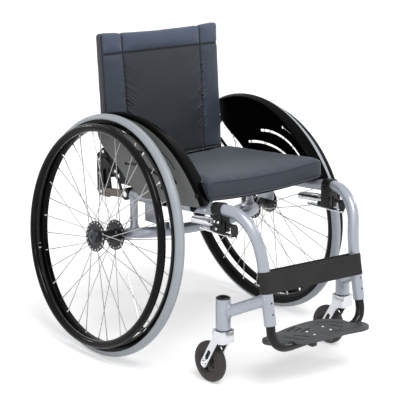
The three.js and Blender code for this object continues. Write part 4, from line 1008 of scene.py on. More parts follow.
def plate_of(outline, low, high, axis="X"):
    """A flat plate with an outline. Across X the outline gives Y and Z; across Z, X and Y."""
    form = bmesh.new()
    if axis == "X":
        spots = [form.verts.new((low, across, along)) for across, along in outline]
        rise = Vector((high - low, 0, 0))
    else:
        spots = [form.verts.new((across, along, low)) for across, along in outline]
        rise = Vector((0, 0, high - low))
    face = form.faces.new(spots)
    made = bmesh.ops.extrude_face_region(form, geom=[face])["geom"]
    lifted = [item for item in made if isinstance(item, bmesh.types.BMVert)]
    bmesh.ops.translate(form, vec=rise, verts=lifted)
    bmesh.ops.recalc_face_normals(form, faces=form.faces)
    return form


def on_fork(rise):
    """A place on the fork leg's centre line, up from the castor's axle."""
    return CASTOR_AXLE + FORK_HEADING * rise


def through_fork(circles):
    """A cutter right across the fork."""
    return plate_of(
        hull_outline(circles), STEM_PLACE.x - FORK_OUTSIDE - 3, STEM_PLACE.x + FORK_OUTSIDE + 3,
    )


crown = plate_of(hull_outline([
    (STEM_PLACE.x + side * (FORK_OUTSIDE - FORK_LEG_RADIUS), STEM_PLACE.y + end * 10.5, FORK_LEG_RADIUS)
    for side in (-1, 1) for end in (-1, 1)
]), FORK_TOP - 30, FORK_TOP, "Z")
legs = [plate_of(hull_outline([
    (FORK_HEAD.y, FORK_HEAD.z, FORK_LEG_RADIUS), (CASTOR_AXLE.y, CASTOR_AXLE.z, FORK_LEG_RADIUS),
]), STEM_PLACE.x + low, STEM_PLACE.x + high) for low, high in (
    (-FORK_OUTSIDE + 0.05, -FORK_INSIDE), (FORK_INSIDE, FORK_OUTSIDE - 0.05))]
wheel_room = plate_of(
    hull_outline([(CASTOR_AXLE.y, CASTOR_AXLE.z, CASTOR_RADIUS + 3)], 64),
    STEM_PLACE.x - FORK_INSIDE, STEM_PLACE.x + FORK_INSIDE,
)
slot_ends = [on_fork(30 + side * 8.75) for side in (-1, 1)]
hole = on_fork(16)
fork = carved(crown, joins=legs, cuts=[
    wheel_room, through_fork([(spot.y, spot.z, 5.25) for spot in slot_ends]),
    through_fork([(hole.y, hole.z, 2.5)]), through_fork([(CASTOR_AXLE.y, CASTOR_AXLE.z, 4.3)]),
])
bmesh.ops.remove_doubles(fork, verts=fork.verts, dist=0.02)
fork = softened(fork, 0.8, 40)
stem_bolt = moved(turned(rounded([
    (FORK_TOP - 1, 0), (FORK_TOP - 1, 6), (203.5, 6), (205, 4.6), (205, 0),
], 0.6, 2), 32, "Z"), STEM_PLACE)
add_pair(
    "castor_fork_forging", together([fork, stem_bolt]), fork_finish, "{}_castor",
    ["{}_castor_fork"],
)
dust_ring = moved(turned(rounded([
    (FORK_TOP - 0.5, 7), (FORK_TOP - 0.5, 19), (FORK_TOP + 0.6, 19),
    (STEM_BOTTOM - 0.1, 17), (STEM_BOTTOM - 0.1, 7),
], 0.3, 2), 48, "Z"), STEM_PLACE)
add_pair("castor_dust_ring", dust_ring, gloss_cap_finish, "{}_castor")

bolt_half = [
    (FORK_OUTSIDE + 1.2, 0), (FORK_OUTSIDE + 1.2, 2.9), (FORK_OUTSIDE + 3.8, 3.3),
    (FORK_OUTSIDE + 3.8, 5.6), (FORK_OUTSIDE + 2.6, 7.5), (FORK_OUTSIDE + 0.2, 7.5),
    (FORK_OUTSIDE + 0.2, 4),
]
bolt_line = rounded(bolt_half + [(-along, radius) for along, radius in reversed(bolt_half)], 0.5, 2)
add_pair(
    "castor_axle_bolt", moved(turned(bolt_line, 36), CASTOR_AXLE), chrome_finish,
    "{}_castor", ["{}_castor_bolt"],
)
castor_tyre_half = [
    (0, CASTOR_RADIUS), (4.5, CASTOR_RADIUS), (11, 46.4), (13, 35.5), (12.4, 31), (10.4, 27.3),
]
castor_tyre_line = rounded(castor_tyre_half, 4, 5)
castor_tyre_profile = castor_tyre_line + [Vector((-x, r)) for x, r in reversed(castor_tyre_line[1:])]
castor_tyre = turned(castor_tyre_profile + [castor_tyre_profile[0]], 96)
add_pair(
    "castor_tyre_tread", moved(castor_tyre, CASTOR_AXLE), rubber_finish,
    "{}_castor_wheel", ["{}_castor_tyre"],
)
hub_half = [
    (CASTOR_HUB_HALF, 4.3), (CASTOR_HUB_HALF, 7), (CASTOR_HUB_HALF - 0.4, 8.6),
    (CASTOR_HUB_HALF - 3, 11.5), (5.2, 12.5), (5.2, 23), (9.6, 24.5),
    (10.4, CASTOR_HUB_RADIUS - 1), (10.4, CASTOR_HUB_RADIUS),
]
hub_top = [(0, CASTOR_HUB_RADIUS)]
far_half = [(-along, radius) for along, radius in hub_half]
hub_profile = rounded(hub_top + hub_half[::-1] + far_half + hub_top, 0.6, 2)
castor_hub = carved(turned(hub_profile, 60), cuts=[
    moved(
        bar((-CASTOR_HUB_HALF, 0, 0), (CASTOR_HUB_HALF, 0, 0), 4.7, 28),
        on_wheel(0, 18, step / 5 * 2 * math.pi),
    )
    for step in range(5)
])
add_pair(
    "castor_hub_wheel", moved(castor_hub, CASTOR_AXLE), nylon_finish,
    "{}_castor_wheel", ["{}_castor_hub"],
)
cap_line = rounded([
    (STEM_TOP + 0.2, 0), (STEM_TOP + 0.2, STEM_RADIUS - 0.2), (STEM_TOP + 1.6, STEM_RADIUS),
    (STEM_TOP + 3.4, STEM_RADIUS - 3), (STEM_TOP + 5.8, STEM_RADIUS - 9), (STEM_TOP + 7, 0),
], 2.2, 4)
stem_cap = moved(turned(cap_line, 48, "Z"), STEM_PLACE)
add_pair("stem_cap_dome", stem_cap, gloss_cap_finish, "root", ["{}_stem_cap"])

# Footrest. One bent aluminium tube, coated gloss black, slides up in both legs and is held by two
# screws in each. A moulded nylon plate with slots and anti-slip grooves is clamped on its cross
# stretch by two saddles with screws.
FOOT_TUBE = 11
FOOT_BEND_REACH = 496
FOOT_CROSS_REACH = 488
FOOT_CROSS_HEIGHT = 106
PLATE_HALF_WIDTH = 138
PLATE_REACH = 546
PLATE_DEPTH = 124
PLATE_TOP = 120
PLATE_THICKNESS = 9
SADDLE_MIDDLE = 8
SADDLE_SPREAD = 27
SADDLE_DROP = 16

# Gloss black powder coat; its faint brown cast is a painted warm reflection.
foot_tube_finish, tree, shader = new_finish("gloss_black_tube", "#0c0a0a", 0.22, specular_ior_level=0.3)
add_grain(tree, shader, 1.8, 0.02, ("#0a0808", "#131010"), (0.18, 0.3))
# Glass-filled nylon, moulded: charcoal, satin, with a spark-eroded grain.
plate_finish, tree, shader = new_finish("charcoal_nylon", "#3d3f42", 0.5)
add_grain(tree, shader, 0.9, 0.08, ("#3f4043", "#4e5053"), (0.42, 0.6))
saddle_finish, tree, shader = new_finish("black_nylon", "#19191b", 0.45)
add_grain(tree, shader, 0.8, 0.05, ("#151517", "#212123"))

FOOT_BEND_SHARES = [(0.949, 0.996, 1.198), (0.828, 1, 1.071), (0.66, 0.996, 1.014), (0.471, 0.99, 1)]
foot_half = [on_leg(100), LEG_END, on_leg(-24)] + [
    Vector((x * LEG_END.x, -y * FOOT_BEND_REACH, z * FOOT_CROSS_HEIGHT)) for x, y, z in FOOT_BEND_SHARES
]
FOOT_LINE = through(
    foot_half + [Vector((0, -FOOT_CROSS_REACH, FOOT_CROSS_HEIGHT))]
    + [Vector((-spot.x, spot.y, spot.z)) for spot in reversed(foot_half)], 150,
)
add_piece(
    "footrest_bent_tube", swept(FOOT_LINE, FOOT_TUBE, 28), foot_tube_finish,
    "footrest", ["footrest_tube"],
)

PLATE_OUTLINE_SHARES = [
    (-0.76, 0.92), (-0.93, 0.88), (-1, 0.76), (-0.95, 0.59), (-0.78, 0.5), (-0.64, 0.42),
    (-0.54, 0.3), (-0.36, 0.2), (0, 0.13), (0.42, 0.08), (0.8, 0), (0.94, 0.06), (0.99, 0.22),
    (0.94, 0.34), (0.83, 0.42), (0.8, 0.5), (0.79, 0.62), (0.72, 0.74), (0.64, 0.85), (0.5, 0.94),
    (0.2, 1), (-0.2, 1), (-0.52, 0.95),
]
PLATE_SLOT_SHARES = [
    (-0.43, 0.59, -0.27, 0.37), (-0.6, 0.66, -0.44, 0.32), (-0.37, 0.84, -0.14, 0.91),
    (-0.28, 0.76, -0.08, 0.8), (-0.18, 0.66, 0.02, 0.68), (0.42, 0.57, 0.52, 0.34),
    (0.53, 0.7, 0.66, 0.5), (0.21, 0.27, 0.39, 0.23), (0.3, 0.82, 0.5, 0.72),
]


def on_plate(across, deep, height=0):
    """A place on the footplate from its shares of half width and depth."""
    return Vector((across * PLATE_HALF_WIDTH, deep * PLATE_DEPTH - PLATE_REACH, height))


plate_spots = [on_plate(*pair) for pair in PLATE_OUTLINE_SHARES]
plate_line = through(plate_spots + plate_spots[:1], 138)[:-1]
footplate = plate_of([(spot.x, spot.y) for spot in plate_line], PLATE_TOP - PLATE_THICKNESS, PLATE_TOP, "Z")
footplate = softened(footplate, 1.6, 50, 3)
plate_cuts = []
for x1, y1, x2, y2 in PLATE_SLOT_SHARES:
    ends = on_plate(x1, y1), on_plate(x2, y2)
    plate_cuts.append(plate_of(
        hull_outline([(spot.x, spot.y, 2.5) for spot in ends], 24),
        PLATE_TOP - PLATE_THICKNESS - 3, PLATE_TOP + 3, "Z",
    ))
plate_cuts.append(cuboid(on_plate(-0.72, 0.76, 100), on_plate(-0.66, 0.81, 130)))
plate_cuts.append(swept(FOOT_LINE[30:-30], FOOT_TUBE + 0.25, 28))
GROOVE_SHARES = [
    [(-0.02, 0.3), (0.18, 0.2), (0.4, 0.16)], [(-0.2, 0.36), (0.12, 0.3), (0.36, 0.36)],
    [(-0.3, 0.5), (0, 0.42), (0.3, 0.46)], [(0.02, 0.56), (0.2, 0.55), (0.36, 0.62)],
    [(0.5, 0.2), (0.66, 0.14), (0.8, 0.16)], [(0.6, 0.34), (0.74, 0.26), (0.86, 0.24)],
    [(0.1, 0.76), (0.26, 0.72), (0.4, 0.62)], [(0, 0.9), (0.2, 0.9), (0.42, 0.84)],
    [(-0.86, 0.78), (-0.72, 0.68), (-0.62, 0.56)], [(-0.84, 0.64), (-0.76, 0.6), (-0.68, 0.54)],
]
for shares in GROOVE_SHARES:
    line = through([on_plate(x, y, PLATE_TOP + 0.5) for x, y in shares], 14)
    plate_cuts.append(swept(line, 1.6, 8))
footplate = carved(footplate, cuts=plate_cuts)
add_piece("footplate_tread", footplate, plate_finish, "footrest", ["footplate"])

plate_screws = []
for side, node in ((1, "left"), (-1, "right")):
    middle = SADDLE_MIDDLE + side * SADDLE_SPREAD
    saddle = softened(cuboid(
        (middle - 9, -FOOT_CROSS_REACH - 16, FOOT_CROSS_HEIGHT - SADDLE_DROP),
        (middle + 9, -FOOT_CROSS_REACH + 16, PLATE_TOP - PLATE_THICKNESS - 0.3),
    ), 4.5, 32, 4)
    room = swept(FOOT_LINE[40:-40], FOOT_TUBE + 0.25, 28)
    split = cuboid(
        (middle - 12, -FOOT_CROSS_REACH - 20, 101.4), (middle + 12, -FOOT_CROSS_REACH - 10, 103),
    )
    saddle = carved(saddle, cuts=[room, split])
    add_piece(
        f"{node}_plate_saddle", saddle, saddle_finish, "footrest",
        [f"{node}_footplate_clamp"],
    )
    for reach, low in ((-13, False), (13, False), (0, True)):
        turn = Matrix.Rotation(math.pi / 2 if low else -math.pi / 2, 4, "Y")
        height = FOOT_CROSS_HEIGHT - SADDLE_DROP if low else PLATE_TOP
        place = Matrix.Translation((middle, -FOOT_CROSS_REACH + reach, height))
        plate_screws.append(moved(dome_screw(3.6, 2.0), place @ turn))
add_piece("footplate_screws", together(plate_screws), screw_finish, "footrest")

# Leg screws. Each pair of black grub screws holds the footrest tube at its height; they are sunk
# into the leg, flush with its surface.
leg_screws = []
for rise in LEG_SCREW_RISES:
    screw = moved(dome_screw(2.3, 1.2), Matrix.Rotation(-math.pi / 2, 4, "Z"))
    leg_screws.append(moved(screw, on_leg(rise) + Vector((0, -FRAME_TUBE + 1.2, 0))))
# Black oxide on steel: matt, with fine turned marks.
black_screw_finish, tree, shader = new_finish("black_oxide_screw", "#121214", 0.4, 0.6)
add_grain(tree, shader, 0.5, 0.01)
add_pair("leg_grub_screws", together(leg_screws), black_screw_finish, "root")

# Calf strap. A wide band of black woven nylon is pulled round both legs and closed on itself, and
# stops the feet from sliding back. Its edges are hemmed and stitched in two rows.
STRAP_HEIGHT = 52
STRAP_THICKNESS = 2.5
STRAP_RADIUS = FRAME_TUBE + 1
STRAP_RISE = 101
STRAP_ROWS = 14
STRAP_SAG = 1.0
STRAP_DROP = 13
FIBRE_FUZZ = 0.5
STITCH_THREAD = 0.35
STITCH_LENGTH = 2.6
STITCH_PITCH = 3.6

# Woven nylon webbing: threads about 1.4 mm apart, drawn at 1.8 mm so that they show.
strap_finish, tree, shader = new_finish("woven_nylon", "#242323", 0.85)


def add_weave(tree, shader, thread, depth, tones):
    """A plain weave: two sets of threads at a real spacing in millimetres, with shade between
    them, a fibre fuzz and a slow change of tone."""
    place = add_node(tree, "ShaderNodeTexCoord").outputs["Object"]
    heights = []
    for direction in ("X", "Z"):
        heights.append(add_node(tree, "ShaderNodeTexWave", {
            "bands_direction": direction, "Scale": 1 / (thread * MILLIMETRE) / 3.2, "Distortion": 0.6,
            "Detail": 1.0, "Detail Scale": 2.0,
        }, {"Vector": place}).outputs["Fac"])
    mixed = add_node(tree, "ShaderNodeMath", {"operation": "MULTIPLY"}, {0: heights[0], 1: heights[1]})
    fibre = add_node(tree, "ShaderNodeTexNoise", {"Scale": 1400.0, "Detail": 2.0}, {"Vector": place})
    lift = add_node(tree, "ShaderNodeMath", {"operation": "MULTIPLY_ADD", 1: FIBRE_FUZZ}, {
        0: fibre.outputs["Fac"], 2: mixed.outputs[0],
    })
    bump = add_node(tree, "ShaderNodeBump", {"Distance": depth * MILLIMETRE, "Strength": 0.8}, {
        "Height": lift.outputs[0],
    })
    tree.links.new(bump.outputs["Normal"], shader.inputs["Normal"])
    patches = add_node(tree, "ShaderNodeTexNoise", {"Scale": 16.0, "Detail": 5.0}, {"Vector": place})
    shade = add_node(tree, "ShaderNodeMath", {"operation": "MULTIPLY_ADD", 1: 0.45}, {
        0: mixed.outputs[0], 2: patches.outputs["Fac"],
    })
    ramp = add_node(tree, "ShaderNodeMapRange", {"From Min": 0.3, "From Max": 0.95}, {
        "Value": shade.outputs[0],
    })
    blend = add_node(tree, "ShaderNodeMix", {
        "data_type": "RGBA", 6: linear(tones[0]), 7: linear(tones[1]),
    }, {0: ramp.outputs["Result"]})
    tree.links.new(blend.outputs[2], shader.inputs["Base Color"])


add_weave(tree, shader, 1.8, 0.25, ("#171515", "#2a2828"))
strap_middle = on_leg(STRAP_RISE)


def strap_spot(share, rise, out=0.0):
    """A place on the strap: a share of the way round, a height on the band, and how far out."""
    straight = 2 * LEG_END.x
    bend = math.pi * STRAP_RADIUS
    along = (share % 1) * 2 * (straight + bend)
    radius = STRAP_RADIUS + out
    if along < straight:
        x, y = along - LEG_END.x, -radius + STRAP_SAG * math.sin(math.pi * along / straight)
    elif along < straight + bend:
        turn = (along - straight) / STRAP_RADIUS - math.pi / 2
        x, y = LEG_END.x + radius * math.cos(turn), radius * math.sin(turn)
    elif along < 2 * straight + bend:
        gone = along - straight - bend
        x, y = LEG_END.x - gone, radius - STRAP_SAG * math.sin(math.pi * gone / straight)
    else:
        turn = (along - 2 * straight - bend) / STRAP_RADIUS + math.pi / 2
        x, y = -LEG_END.x + radius * math.cos(turn), radius * math.sin(turn)
    lean = Matrix.Rotation(-LEG_LEAN, 3, "X")
    drop = STRAP_DROP * (x / (2 * LEG_END.x) + 0.5)
    return Vector((0, strap_middle.y, strap_middle.z)) + lean @ Vector((x, y, rise - drop))


STRAP_STEPS = 220
strap = bmesh.new()
rings = []
for row in range(STRAP_ROWS + 1):
    rise = STRAP_HEIGHT * (row / STRAP_ROWS - 0.5)
    ring = [strap.verts.new(strap_spot(step / STRAP_STEPS, rise, 0.05)) for step in range(STRAP_STEPS)]
    rings.append([strap.edges.new((ring[step - 1], ring[step])) for step in range(STRAP_STEPS)])
for lower, upper in zip(rings, rings[1:]):
    bmesh.ops.bridge_loops(strap, edges=lower + upper)
bmesh.ops.recalc_face_normals(strap, faces=strap.faces)
hem_height = STRAP_HEIGHT / 2 - 7
bmesh.ops.solidify(strap, geom=strap.faces, thickness=STRAP_THICKNESS - 0.5)
for vert in strap.verts:
    local = Matrix.Rotation(LEG_LEAN, 3, "X") @ (vert.co - Vector((0, strap_middle.y, strap_middle.z)))
    rise = abs(local.z + STRAP_DROP * (local.x / (2 * LEG_END.x) + 0.5))
    if hem_height < rise < STRAP_HEIGHT / 2 - 0.5:
        vert.co += vert.normal * 0.35
strap = softened(strap, 0.7, 50, 3)
strap_piece = add_piece("calf_strap_band", strap, strap_finish, "root", ["calf_strap"])


def stitch_row(spots, outward):
    """A row of stitches along a line of places, each a short thread that dips at both ends.
    Outward gives the direction away from the cloth at each place."""
    length = STITCH_LENGTH
    forms = []
    carried = 0.0
    for number in range(len(spots) - 1):
        start, end = spots[number], spots[number + 1]
        span = (end - start).length
        heading = (end - start) / max(span, 0.0001)
        while carried < span:
            place = start + heading * carried
            out = outward[number]
            forms.append(swept([
                place - heading * length / 2 - out * 0.5, place - heading * length / 4 + out * 0.15,
                place + heading * length / 4 + out * 0.15, place + heading * length / 2 - out * 0.5,
            ], STITCH_THREAD, 5))
            carried += STITCH_PITCH
        carried -= span
    return together(forms)


# Polyester sewing thread: dark grey, a little lighter than the webbing.
thread_finish, tree, shader = new_finish("polyester_thread", "#3a3a3d", 0.7)
add_grain(tree, shader, 0.4, 0.05, ("#333336", "#454549"))
strap_rows = []
for rise in (-hem_height + 0.6, hem_height - 0.6):
    spots = [strap_spot(step / 300, rise, STRAP_THICKNESS - 0.3) for step in range(301)]
    beneath = [strap_spot(step / 300, rise) for step in range(301)]
    outward = [(outer - inner).normalized() for outer, inner in zip(spots, beneath)]
    strap_rows.append(stitch_row(spots, outward))
strap_stitches = add_piece(
    "calf_strap_stitches", together(strap_rows), thread_finish, "root",
)

# Back hinges. A black-coated steel plate with a slot carries each back cane on a pivot bolt, and
# an alloy arm clamps it to the drum at the rail's rear end. A curved strut stiffens the plate, and
# a small lever behind it locks the back upright.
RAIL_DRUM_PLACE = Vector((0, -8, 401.42))
PIVOT_PLACE = Vector((0, 94.17, 494))
PLATE_INNER = 186.5
PLATE_OUTER = 192.5
ARM_INNER = 192.8
ARM_OUTER = 202.8
SLOT_ENDS = [(92, 414), (92, 442)]
STRUT_BOSS_PLACE = Vector((192.9, 38, 452))
STRUT_INNER = 194
STRUT_OUTER = 198
STRUT_HALF_WIDTH = 4.5
LATCH_INNER = 181.3

# Black powder coat on steel, satin, with a fine orange peel.
hinge_finish, tree, shader = new_finish("black_powder_coat", "#161619", 0.38, specular_ior_level=0.35)
add_grain(tree, shader, 1.1, 0.03, ("#131213", "#201f20"), (0.32, 0.48))
# Dark bronze-grey anodised aluminium.
arm_finish, tree, shader = new_finish("bronze_anodised_aluminium", "#5a5550", 0.3, 0.85)
add_grain(tree, shader, 0.7, 0.015, ("#5c5651", "#77716b"), (0.24, 0.36))

plate = plate_of(hull_outline([
    (PIVOT_PLACE.y, PIVOT_PLACE.z, 10), (114, 474, 14), (113, 390, 15), (83, 390, 15),
], 48), PLATE_INNER, PLATE_OUTER)
plate = softened(plate, 1.3, 40, 3)
plate_slot = plate_of(
    hull_outline([(*end, 7) for end in SLOT_ENDS], 32), PLATE_INNER - 4, PLATE_OUTER + 4,
)
lightening = [
    bar((PLATE_INNER - 4, across, along), (PLATE_OUTER + 4, across, along), 3.2, 24)
    for across, along in ((116, 385), (104, 477))
]
plate = carved(plate, cuts=[plate_slot] + lightening)
slot_liner = cuboid((PLATE_INNER - 5, 83, 404), (PLATE_INNER - 0.4, 101, 452))
rim_of_slot = swept([
    Vector((PLATE_OUTER, across, along))
    for across, along in hull_outline([(*end, 8.2) for end in SLOT_ENDS], 24)
], 1.0, 8, ring=True)


def at_pivot(across):
    """A place on the pivot bolt's axis."""
    return PIVOT_PLACE + Vector((across, 0, 0))


pivot_boss = moved(turned(rounded([
    (0, 0), (0, 9.6), (2.6, 9.6), (3.4, 8.6), (3.4, 0),
], 0.5, 2), 40), at_pivot(PLATE_OUTER))
pivot_bolt = bar(at_pivot(PLATE_INNER - 4.3), at_pivot(PLATE_OUTER), 4, 24)
add_pair(
    "hinge_plate_steel", together([plate, slot_liner, rim_of_slot, pivot_boss, pivot_bolt]),
    hinge_finish, "root", ["{}_back_plate"],
)

arm = softened(plate_of(hull_outline([
    (RAIL_DRUM_PLACE.y, RAIL_DRUM_PLACE.z, 10), (98, 390, 10),
], 40), ARM_INNER, ARM_OUTER), 1.6, 40, 3)
arm_recess = plate_of(
    hull_outline([(20, 398.3, 4.6), (78, 392.2, 4.6)], 28), ARM_OUTER - 1.4, ARM_OUTER + 3,
)
arm = carved(arm, cuts=[arm_recess])
drum_half = [
    (174.6, 0), (174.6, 15.4), (191, 15.4), (191.6, 14.4), (192.6, 14.4), (193.2, 15.4), (203.4, 15.4),
    (204.8, 14), (204.8, 11.6), (203.6, 11), (203.6, 0),
]
drum = moved(turned(rounded(drum_half, 0.4, 2), 56), RAIL_DRUM_PLACE)
add_pair("hinge_arm_bar", arm, arm_finish, "root", ["{}_back_arm"])
add_pair("hinge_drum", drum, hinge_finish, "root")

strut_line = through([(0, 88, 478), (0, 66, 461), (0, 44, 444), (0, 27, 427), (0, 18, 406)], 24)
strut = bmesh.new()
strut_sections = []
for number, frame_place in enumerate(frames_along(strut_line)):
    heading = (frame_place.to_3x3() @ Vector((0, 0, 1))).normalized()
    side = Vector((0, -heading.z, heading.y))
    spot = strut_line[number]
    corners = [
        strut.verts.new(spot + side * across + Vector((along, 0, 0)))
        for across, along in (
            (-STRUT_HALF_WIDTH, STRUT_INNER), (STRUT_HALF_WIDTH, STRUT_INNER),
            (STRUT_HALF_WIDTH, STRUT_OUTER), (-STRUT_HALF_WIDTH, STRUT_OUTER),
        )
    ]
    strut_sections.append([strut.edges.new((corners[step - 1], corners[step])) for step in range(4)])
for first, second in zip(strut_sections, strut_sections[1:]):
    bmesh.ops.bridge_loops(strut, edges=first + second)
bmesh.ops.holes_fill(strut, edges=strut.edges)
bmesh.ops.recalc_face_normals(strut, faces=strut.faces)
strut = softened(strut, 1.2, 50, 3)
strut_boss = moved(turned(rounded([
    (0, 0), (0, 10), (5, 10), (6.2, 8.6), (6.2, 0),
], 0.8, 3), 36), STRUT_BOSS_PLACE)
add_pair("hinge_strut", together([strut, strut_boss]), hinge_finish, "root")

hinge_screws = [
    moved(dome_screw(4.8, 2.4), place) for place in (
        (PLATE_OUTER, 114, 470), (PLATE_OUTER, 114, 433), at_pivot(PLATE_OUTER + 3.4),
        (198.9, 38, 452), (ARM_OUTER, 96, 390.2),
    )
]
hinge_screws.append(moved(turned(rounded([
    (0, 0), (0, 7.4), (0.8, 7.8), (1.6, 6.8), (1.9, 3), (1.2, 0),
], 0.3, 2), 32), (203.6, RAIL_DRUM_PLACE.y, RAIL_DRUM_PLACE.z)))
add_pair("hinge_bolts", together(hinge_screws), chrome_finish, "root")

latch = softened(plate_of(
    hull_outline([(104, 400, 5), (104, 376, 5)], 32), LATCH_INNER, 186.1,
), 1.2, 40, 3)
latch_ribs = [
    cuboid((180.8, 99.6, height), (181.6, 108.4, height + 1.2)) for height in (373, 376, 379, 382)
]
latch_rivet = turned(rounded([(0, 0), (0, 2.6), (0.6, 2.4), (0.9, 0)], 0.2, 2), 20)
latch_rivet = moved(mirrored(latch_rivet), (LATCH_INNER, 104, 400))
add_pair(
    "hinge_lock_lever", together([latch, latch_rivet] + latch_ribs), saddle_finish,
    "{}_back_latch", ["{}_back_latch"],
)

# Side guards. Each is a sheet of black thermoplastic, gloss towards the seat and grained towards the wheel,
# where its grey is a painted reflection. A wide lip turned in along its edge keeps clothes off the wheel,
# three curved slots pierce it, and two straps with bolts hold it to the rail.
GUARD_INNER = 205
GUARD_OUTER = 208
GUARD_RADIUS = 295
GUARD_SPREAD = 30
GUARD_TOE = 14
GUARD_MIDDLE = Vector((0, 0, 302.98))
GUARD_START_ANGLE = 69
GUARD_SWEEP_ANGLE = 89
GUARD_SHEET_SHARE = 0.985
GUARD_STEPS = 66
LIP_DEEPEST = 29
LIP_SHARES = [0.38, 0.38, 0.42, 0.5, 0.6, 0.73, 0.88, 1, 1, 1, 0.8]

# Gloss black ABS, thermoformed: smooth, deep black, with faint scuffs. The wheel side of the sheet has the
# tool's grain, and its dull mid grey is a painted reflection of the bright studio on the black sheet.
guard_finish, tree, shader = new_finish("gloss_black_abs", "#040303", 0.3, specular_ior_level=0.04)
add_grain(tree, shader, 2.5, 0.03, ("#030202", "#060504"), (0.24, 0.38))
grained_reflection_finish, tree, shader = new_finish("grained_abs_painted_reflection", "#7a7c7a", 0.62, specular_ior_level=0.3)
add_grain(tree, shader, 1.2, 0.1, ("#727472", "#828482"), (0.52, 0.7))


def on_guard(share, radius_share=1.0):
    """A place on the guard from its share along the edge and of the edge's radius."""
    turn = math.radians(GUARD_START_ANGLE + GUARD_SWEEP_ANGLE * share)
    reach = (GUARD_RADIUS + GUARD_SPREAD * share + GUARD_TOE * share ** 4) * radius_share
    return GUARD_MIDDLE + Vector((0, math.cos(turn) * reach, math.sin(turn) * reach))


def over_rail(reach, rise):
    """A place in the guard's plane at a reach in front of the axle, over the rail's centre line."""
    return Vector((0, -reach, on_rail(int(reach)).z + rise))


guard_edge = [on_guard(step / GUARD_STEPS, GUARD_SHEET_SHARE) for step in range(GUARD_STEPS + 1)]
guard_feet = through([
    guard_edge[-1], over_rail(297, 6), over_rail(228.75, 3), over_rail(130, 3), over_rail(72, 6),
    (0, 22.3, 476.3), (0, 90.9, 526.5), guard_edge[0],
], 84)[1:-1]
face_form = plate_of([(spot.y, spot.z) for spot in guard_edge + guard_feet], GUARD_INNER, GUARD_OUTER)


def curved_slot(places, half):
    """A cutter for a slot with round ends that curves through (Y, Z) places on the guard."""
    steps = 22
    line = through([Vector((0, across, rise)) for across, rise in places], steps)
    sides = []
    for number in range(steps + 1):
        heading = (line[min(number + 1, steps)] - line[max(number - 1, 0)]).normalized()
        sides.append(Vector((0, -heading.z, heading.y)) * half)
    turns = [Matrix.Rotation(-math.pi * step / 6, 3, "X") for step in range(1, 6)]
    outline = [spot + side for spot, side in zip(line, sides)]
    outline += [line[-1] + turn @ sides[-1] for turn in turns]
    outline += [spot - side for spot, side in zip(line[::-1], sides[::-1])]
    outline += [line[0] - turn @ sides[0] for turn in turns]
    return plate_of([(spot.y, spot.z) for spot in outline], GUARD_INNER - 4, GUARD_OUTER + 4)


face_form = carved(face_form, cuts=[
    curved_slot([(-67, 521), (-96, 523), (-130, 519), (-165, 507.5), (-194, 490), (-218, 469)], 3.5),
    curved_slot([(-19, 483), (-55, 488), (-97, 487), (-136.5, 479.5), (-168, 467)], 3.5),
    curved_slot([(-152, 538.5), (-171, 531.5), (-193.5, 519.5), (-213, 501.5)], 1.2),
    bar((GUARD_INNER - 4, -148, 540), (GUARD_OUTER + 4, -148, 540), 4, 20),
])
# The wheel-side faces get the grey painted reflection.
for side_face in face_form.faces:
    if side_face.normal.x > 0.9:
        side_face.material_index = 1
lip = bmesh.new()
sections = []
for step in range(GUARD_STEPS + 1):
    share = step / GUARD_STEPS
    place = min(int(share * 10), 9)
    part = share * 10 - place
    part = part * part * (3 - 2 * part)
    depth = LIP_DEEPEST * (LIP_SHARES[place] * (1 - part) + LIP_SHARES[place + 1] * part)
    edge = on_guard(share)
    out = (edge - GUARD_MIDDLE).normalized()
    inner = GUARD_INNER - depth
    line = rounded([
        (GUARD_INNER + 0.4, -9), (GUARD_OUTER + 0.2, -9), (GUARD_OUTER + 0.6, 3), (GUARD_OUTER - 1, 6.5),
        (inner, 0), (inner, -3), (GUARD_INNER - 0.4, 3),
    ], 1.4, 3)
    corners = [lip.verts.new(edge + out * spot.y + Vector((spot.x, 0, 0))) for spot in line]
    sections.append([
        lip.edges.new((corners[number - 1], corners[number])) for number in range(len(corners))
    ])
for first, second in zip(sections, sections[1:]):
    bmesh.ops.bridge_loops(lip, edges=first + second)
bmesh.ops.holes_fill(lip, edges=lip.edges)
bmesh.ops.recalc_face_normals(lip, faces=lip.faces)
guard_bosses = []
guard_screws = []
for reach, lean, rise in ((158, 0, 38), (272, 22, 34)):
    place = on_rail(reach)
    bolt = Vector((0, place.y - lean, place.z + rise))
    guard_bosses.append(bar((place.x + 12, place.y, place.z), (GUARD_INNER, place.y, place.z), 6, 24))
    guard_bosses.append(softened(plate_of(hull_outline([
        (place.y, place.z, 9), (bolt.y, bolt.z, 8),
    ], 32), GUARD_INNER - 3.5, GUARD_INNER - 0.1), 0.8))
    guard_screws.append(moved(dome_screw(6.4, 3.4), (GUARD_OUTER, bolt.y, bolt.z)))
guards = add_pair(
    "side_guard_shell", together([face_form, lip] + guard_bosses), guard_finish, "root",
    ["{}_side_guard"],
)
for guard in guards:
    guard.data.materials.append(grained_reflection_finish)
add_pair("side_guard_screws", together(guard_screws), black_screw_finish, "root")

# Brakes. A black alloy clamp holds each one to the rail. Its lever, a chromed loop of rod, ends in
# a moulded knob. A round chromed shoe bar with two collars and a rod over it swings to the tyre.
BRAKE_PLACE = Vector((182.25, -347.78, 425.12))
BRAKE_BAR_X = 178
BRAKE_KNOB_Y = -393.78
SHOE_PIVOT_Y = -319.78
LUG_BOTTOM = 370.3
LUG_TOP = 377.6
SHOE_RADIUS = 8

# Black anodised alloy of the clamps: satin.
clamp_finish, tree, shader = new_finish("black_anodised_clamp", "#100e0e", 0.33, specular_ior_level=0.3)
add_grain(tree, shader, 0.9, 0.03, ("#0c0b0b", "#171515"), (0.28, 0.42))
# Moulded black rubber-like plastic of the knobs.
knob_finish, tree, shader = new_finish("moulded_black_knob", "#1a1a1c", 0.42, specular_ior_level=0.4)
add_grain(tree, shader, 0.9, 0.06, ("#161618", "#242426"))

